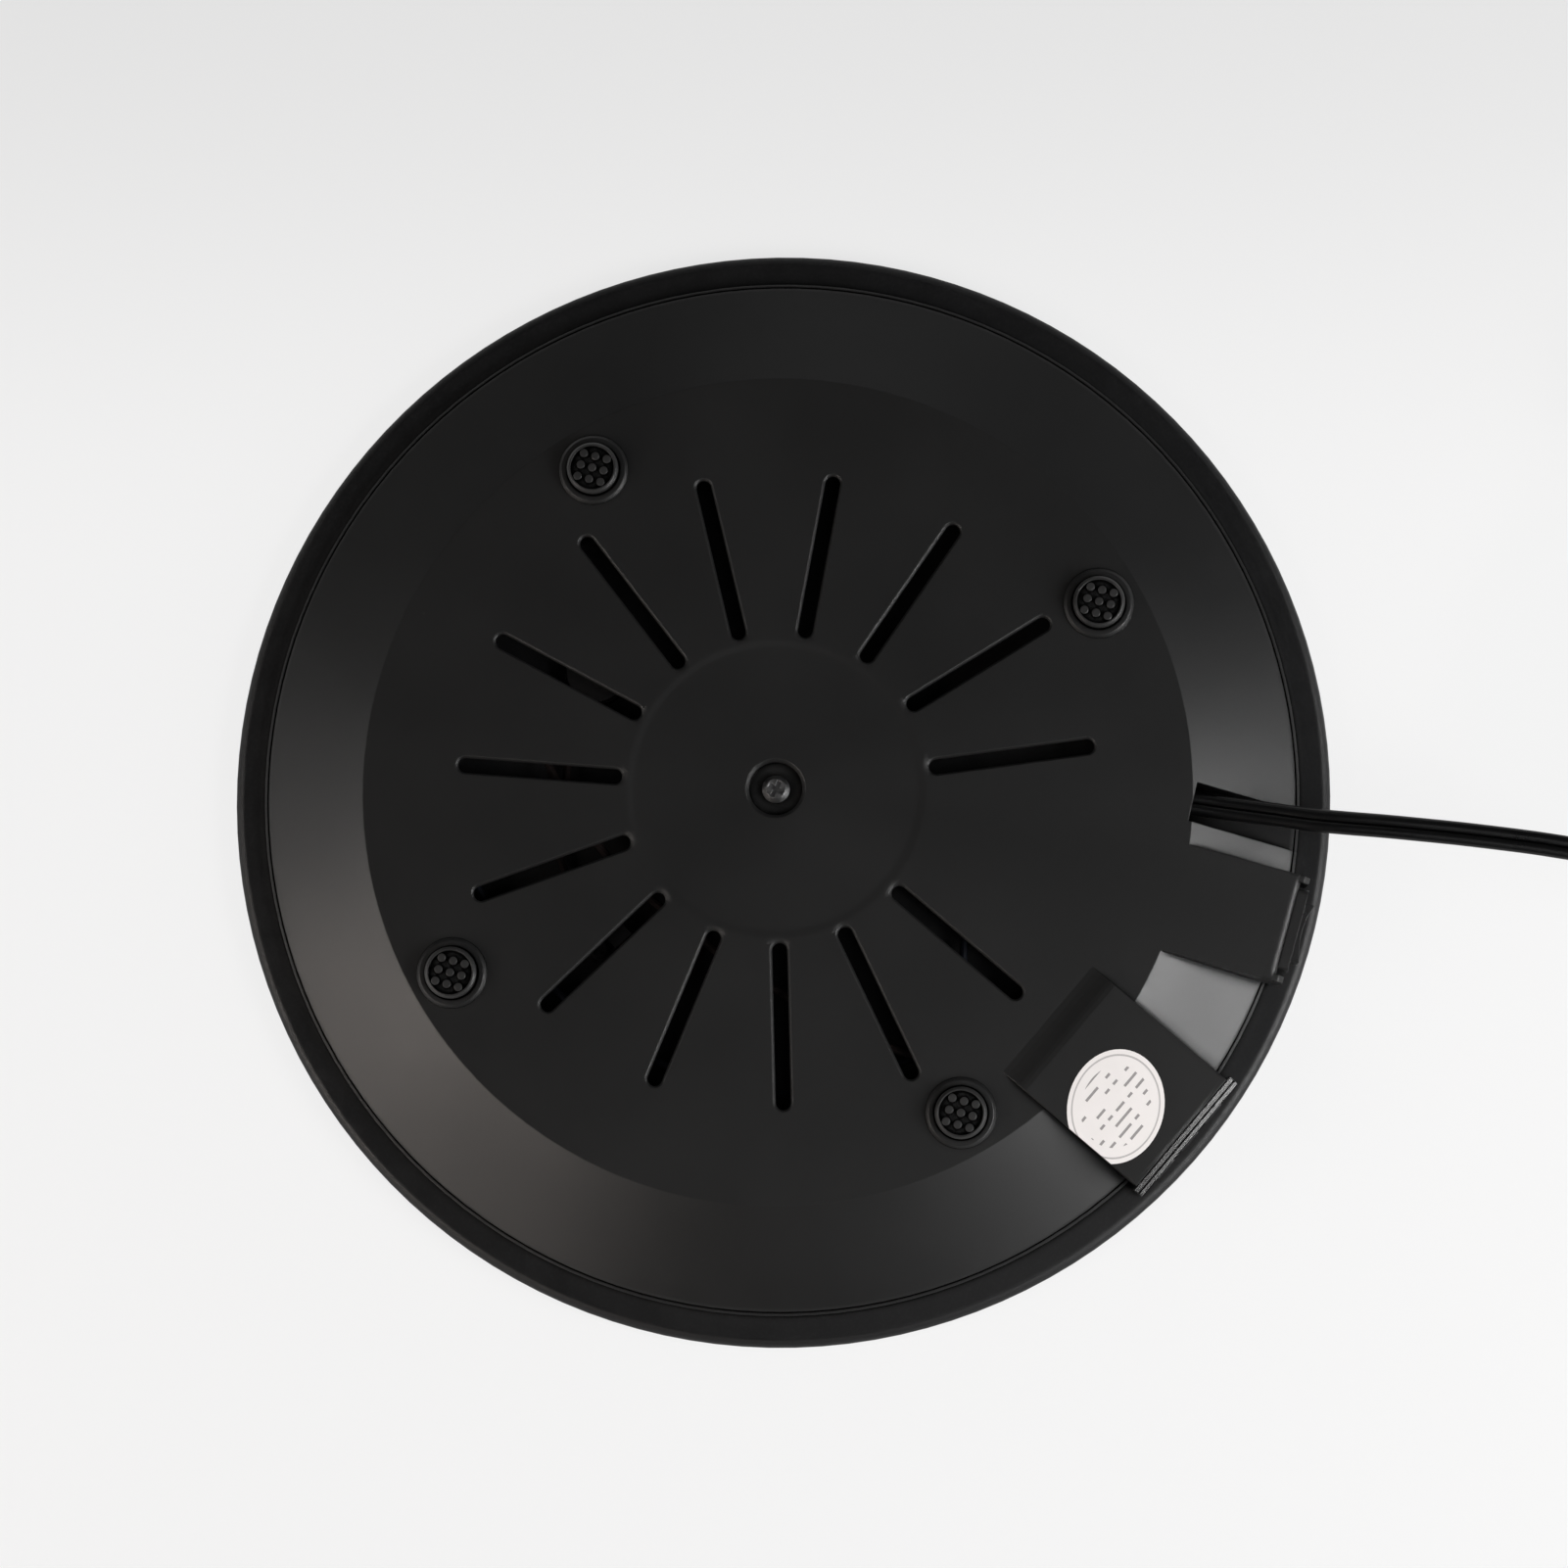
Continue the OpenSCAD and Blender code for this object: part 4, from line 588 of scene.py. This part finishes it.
def felt():
    """Pale mat of loose fibres."""
    look = Look("felt", (0.7, 0.68, 0.62), 0.95, **{"Sheen Weight": 0.3})
    fibres = look.noise(0.6, 6, 0.7, (1, 1, 0.3))
    look.colour(look.ramp(fibres, (0.3, (0.52, 0.50, 0.45)), (0.7, (0.80, 0.78, 0.72))))
    look.rough(look.clouds(3, 3, 0.88, 1.0))
    look.relief(fibres, 0.25)
    return look


def solder_mask():
    """Green board with raised tracks."""
    look = Look("solder_mask", (0.03, 0.13, 0.05), 0.3)
    tracks = look.math("GREATER_THAN", look.noise(1.8, 0.0, 0.5, (0.3, 0.3, 1.6)), 0.53)
    look.colour(look.mix(tracks, (0.022, 0.10, 0.038), (0.04, 0.17, 0.065)))
    look.rough(look.clouds(2, 3, 0.24, 0.38))
    look.relief(tracks, 0.02, 0.1)
    return look


def braided_sleeve():
    """Woven sleeve over the wires that get hot, painted near black: painted shade inside the base, seen through the
    slots.
    """
    look = Look("braided_sleeve", (0.006, 0.004, 0.004), 0.8, **{"Specular IOR Level": 0.1})
    weave = look.noise(0.7, 3, 0.6, (1, 1, 2))
    look.colour(look.ramp(weave, (0.35, (0.004, 0.003, 0.003)), (0.65, (0.009, 0.005, 0.0045))))
    look.rough(look.ramp(weave, (0.3, 0.7), (0.7, 0.9)))
    look.relief(weave, 0.08)
    return look


def core(name, colour):
    """Insulated core with a dull skin."""
    return moulded(name, colour, (0.65, 0.8), 0.5, 0.01, 0.05, 10, **{"Specular IOR Level": 0.15})


wear(mica(), "upper_mica", "lower_mica")
wear(felt(), "insulation_pad")
wear(solder_mask(), "control_board")
wear(braided_sleeve(), "wire_thermostat", "wire_fuse", "wire_heater")
# Painted shade: the brown and blue cores are far darker than their own colours, for the shade inside the base seen
# through the slots.
wear(core("core_brown", (0.020, 0.010, 0.006)), "wire_live", "wire_switch_feed")
wear(core("core_blue", (0.003, 0.004, 0.008)), "wire_neutral", "wire_return")
wear(core("core_black", grey(0.006)), "wire_switched")
wear(moulded("grey_plastic", (0.03, 0.03, 0.032), (0.4, 0.5), 0.3, 0.008), "cord_clamp", "tact_switches")
wear(moulded("relay_plastic", (0.03, 0.08, 0.24), (0.35, 0.45), 0.3, 0.006, patch=10), "relay")
wear(moulded("phenolic", (0.005, 0.0042, 0.004), (0.6, 0.75), 0.3, 0.01, patch=6,
             **{"Specular IOR Level": 0.2}), "thermostat")
# Painted shade: the ceramic bushes are painted near black, for the shade inside the base seen through the slots.
wear(moulded("ceramic_painted_shade", (0.020, 0.016, 0.014), (0.5, 0.65), 0.5, 0.01, patch=6,
             **{"Specular IOR Level": 0.2}), "terminal_bushes")
wear(moulded("block_nylon", (0.020, 0.019, 0.018), (0.5, 0.6), 0.4, 0.01, patch=12), "terminal_block")
wear(moulded("capacitor_sleeve", (0.10, 0.045, 0.025), (0.22, 0.32), 0.4, 0.006, patch=6), "capacitor")
wear(moulded("lens", (0.78, 0.75, 0.66), (0.15, 0.25), 0.5, 0.004, patch=3, spread=0.05,
             **{"Transmission Weight": 0.4}), "indicator_leds")
wear(moulded("clear_bar", (0.88, 0.89, 0.9), (0.12, 0.24), 0.5, 0.004, patch=8, spread=0.03,
             **{"Transmission Weight": 0.75, "IOR": 1.49}), "light_guide")

# Stage: the table under the glass, seen only from below, and the table under the feet, seen only from above. A blind
# under the second one holds the lamps' light back from what is seen from above. A view from below has come through
# both of these, which its transparent depth counts, so it finds neither. The sheets' half width is in metres.
SHEET_HALF = 40.0
UNDER_GLASS_Z, UNDER_FEET_Z, BLIND_Z = 26.1, -0.05, -30
SHEETS_BELOW = 2


def sheet(name, z, down, look, front):
    """Wide one-sided sheet, which lets through what comes from behind it or has already come from below."""
    corners = [(x * SHEET_HALF, y * SHEET_HALF, z * MM) for x, y in ((-1, -1), (1, -1), (1, 1), (-1, 1))]
    obj = add_mesh(name, corners, [(3, 2, 1, 0) if down else (0, 1, 2, 3)], look.material, False)
    gone = look.add("ShaderNodeNewGeometry").outputs["Backfacing"]
    if not down:
        passed = look.add("ShaderNodeLightPath").outputs["Transparent Depth"]
        gone = look.math("MAXIMUM", gone, look.math("GREATER_THAN", passed, SHEETS_BELOW - 0.5))
    choose = look.add("ShaderNodeMixShader")
    look.link(gone, choose.inputs[0])
    look.link(front, choose.inputs[1])
    look.link(look.add("ShaderNodeBsdfTransparent").outputs[0], choose.inputs[2])
    look.link(choose.outputs[0], look.tree.nodes["Material Output"].inputs["Surface"])
    look.material.cycles.emission_sampling = "NONE"
    return obj


def table(name, z, down, level, glow, calm=None):
    """Table top: a little of the lamps' light and shadow over a tone that runs up the picture.

    Glow is two pairs of a height in the picture and the tone there. Calm is a point, the reach over which it fades and
    a tone: round that point the tone stands in for the lamps' light, where the spare cord, which lies past the
    picture's edge, would throw its shadow into the picture.
    """
    look = Look(name, grey(level), 0.9, **{"Specular IOR Level": 0.0})
    lit = look.clouds(60, 3, level * 0.98, level)
    up_picture = look.place(picture_point(0, 0, 0), math.degrees(math.atan2(UP.y, UP.x)))[0]
    (low, low_tone), (high, high_tone) = glow
    tone = look.ramp(look.span(up_picture, low, high), (0.0, low_tone), (1.0, high_tone))
    if calm:
        point, reach, stand_in = calm
        x, y, _ = look.place(point, 0)
        share = look.span(look.radius(x, y), *reach, 1.0, 0.0)
        lit = look.mix(share, lit, grey(0))
        tone = look.mix(share, tone, grey(stand_in), "ADD")
    look.colour(lit)
    shine = look.add("ShaderNodeEmission")
    look.link(tone, shine.inputs["Color"])
    front = look.add("ShaderNodeAddShader")
    look.link(look.shader.outputs[0], front.inputs[0])
    look.link(shine.outputs[0], front.inputs[1])
    obj = sheet(name, z, down, look, front.outputs[0])
    obj.visible_shadow = False
    obj.visible_diffuse = obj.visible_glossy = obj.visible_transmission = not down


table("table_below_glass", UNDER_GLASS_Z, True, 0.12, ((60, 0.80), (230, 0.70)),
      (picture_point(215, 28, 0), (35, 55), 0.10))
table("table_below_feet", UNDER_FEET_Z, False, 0.5, ((-900, 0.36), (900, 0.36)))
dark = Look("blind", grey(0.0), 1.0, **{"Specular IOR Level": 0.0})
sheet("blind", BLIND_Z, False, dark, dark.shader.outputs[0])

# Light: soft boxes in a ring on the camera's side, a fill nearer to its axis and one soft box above the plate. Each box
# of the ring is an angle round the picture and a radiance. Sizes, and the place of the box above, are in metres.
SOFT_BOXES = ((-50, 1.0), (-25, 10.3), (-3, 4.1), (85, 0.35), (180, 1.4), (-158, 3.8), (-132, 1.8))
BOX_ANGLE, BOX_DISTANCE, BOX_SIZE = 58, 800, 0.35
FILL_AROUND, FILL_ANGLE, FILL_RADIANCE = -45, 22, 0.6
ABOVE_AT, ABOVE_SIZE, ABOVE_RADIANCE = (-0.5, -0.6, 1.0), 0.9, 1.2
NEUTRAL, WARM, WARM_BELOW = (1, 1, 1), (1.1, 1.0, 0.93), -90


def lamp(name, place, aim_at, size, radiance, tint=NEUTRAL):
    """Square soft box, its place and size in metres."""
    data = bpy.data.lights.new(name, "AREA")
    data.shape = "RECTANGLE"
    data.size = data.size_y = size
    data.energy = radiance * math.pi * size * size
    data.color = tint
    obj = bpy.data.objects.new(name, data)
    scene.collection.objects.link(obj)
    obj.location = place
    obj.rotation_euler = (Vector(aim_at) - Vector(place)).to_track_quat("-Z", "Y").to_euler()


def picture_lamp(name, around, off_axis, radiance, tint=NEUTRAL):
    """Soft box on the camera's side, at an angle round the picture and an angle from its axis."""
    a, b = math.radians(around), math.radians(off_axis)
    place = picture_point(BOX_DISTANCE * math.sin(b) * math.cos(a), BOX_DISTANCE * math.sin(b) * math.sin(a),
                          BOX_DISTANCE * math.cos(b))
    lamp(name, place, picture_point(0, 0, 0), BOX_SIZE, radiance, tint)


for around, radiance in SOFT_BOXES:
    picture_lamp("soft_box_%d" % (around % 360), around, BOX_ANGLE, radiance,
                 WARM if around < WARM_BELOW else NEUTRAL)
picture_lamp("fill", FILL_AROUND, FILL_ANGLE, FILL_RADIANCE)
lamp("soft_box_above", ABOVE_AT, (0, 0, 0), ABOVE_SIZE, ABOVE_RADIANCE)

# World: dim on the camera's side of the plate, pale above it. The stops run from straight down to straight up.
WORLD_STOPS = ((0.485, 0.04), (0.4925, 0.85), (0.58, 0.85), (0.7, 0.5))
world = bpy.data.worlds.new("studio")
scene.world = world
world.use_nodes = True
tree = world.node_tree
split = tree.nodes.new("ShaderNodeSeparateXYZ")
tree.links.new(tree.nodes.new("ShaderNodeTexCoord").outputs["Generated"], split.inputs[0])
fade = tree.nodes.new("ShaderNodeMapRange")
fade.inputs["From Min"].default_value = -1.0
tree.links.new(split.outputs["Z"], fade.inputs["Value"])
ramp = tree.nodes.new("ShaderNodeValToRGB")
stops = ramp.color_ramp.elements
for k, (place, level) in enumerate(WORLD_STOPS):
    if k > 1:
        stops.new(place)
    stops[k].position = place
    stops[k].color = (*grey(level), 1)
tree.links.new(fade.outputs["Result"], ramp.inputs["Fac"])
tree.links.new(ramp.outputs["Color"], tree.nodes["Background"].inputs["Color"])
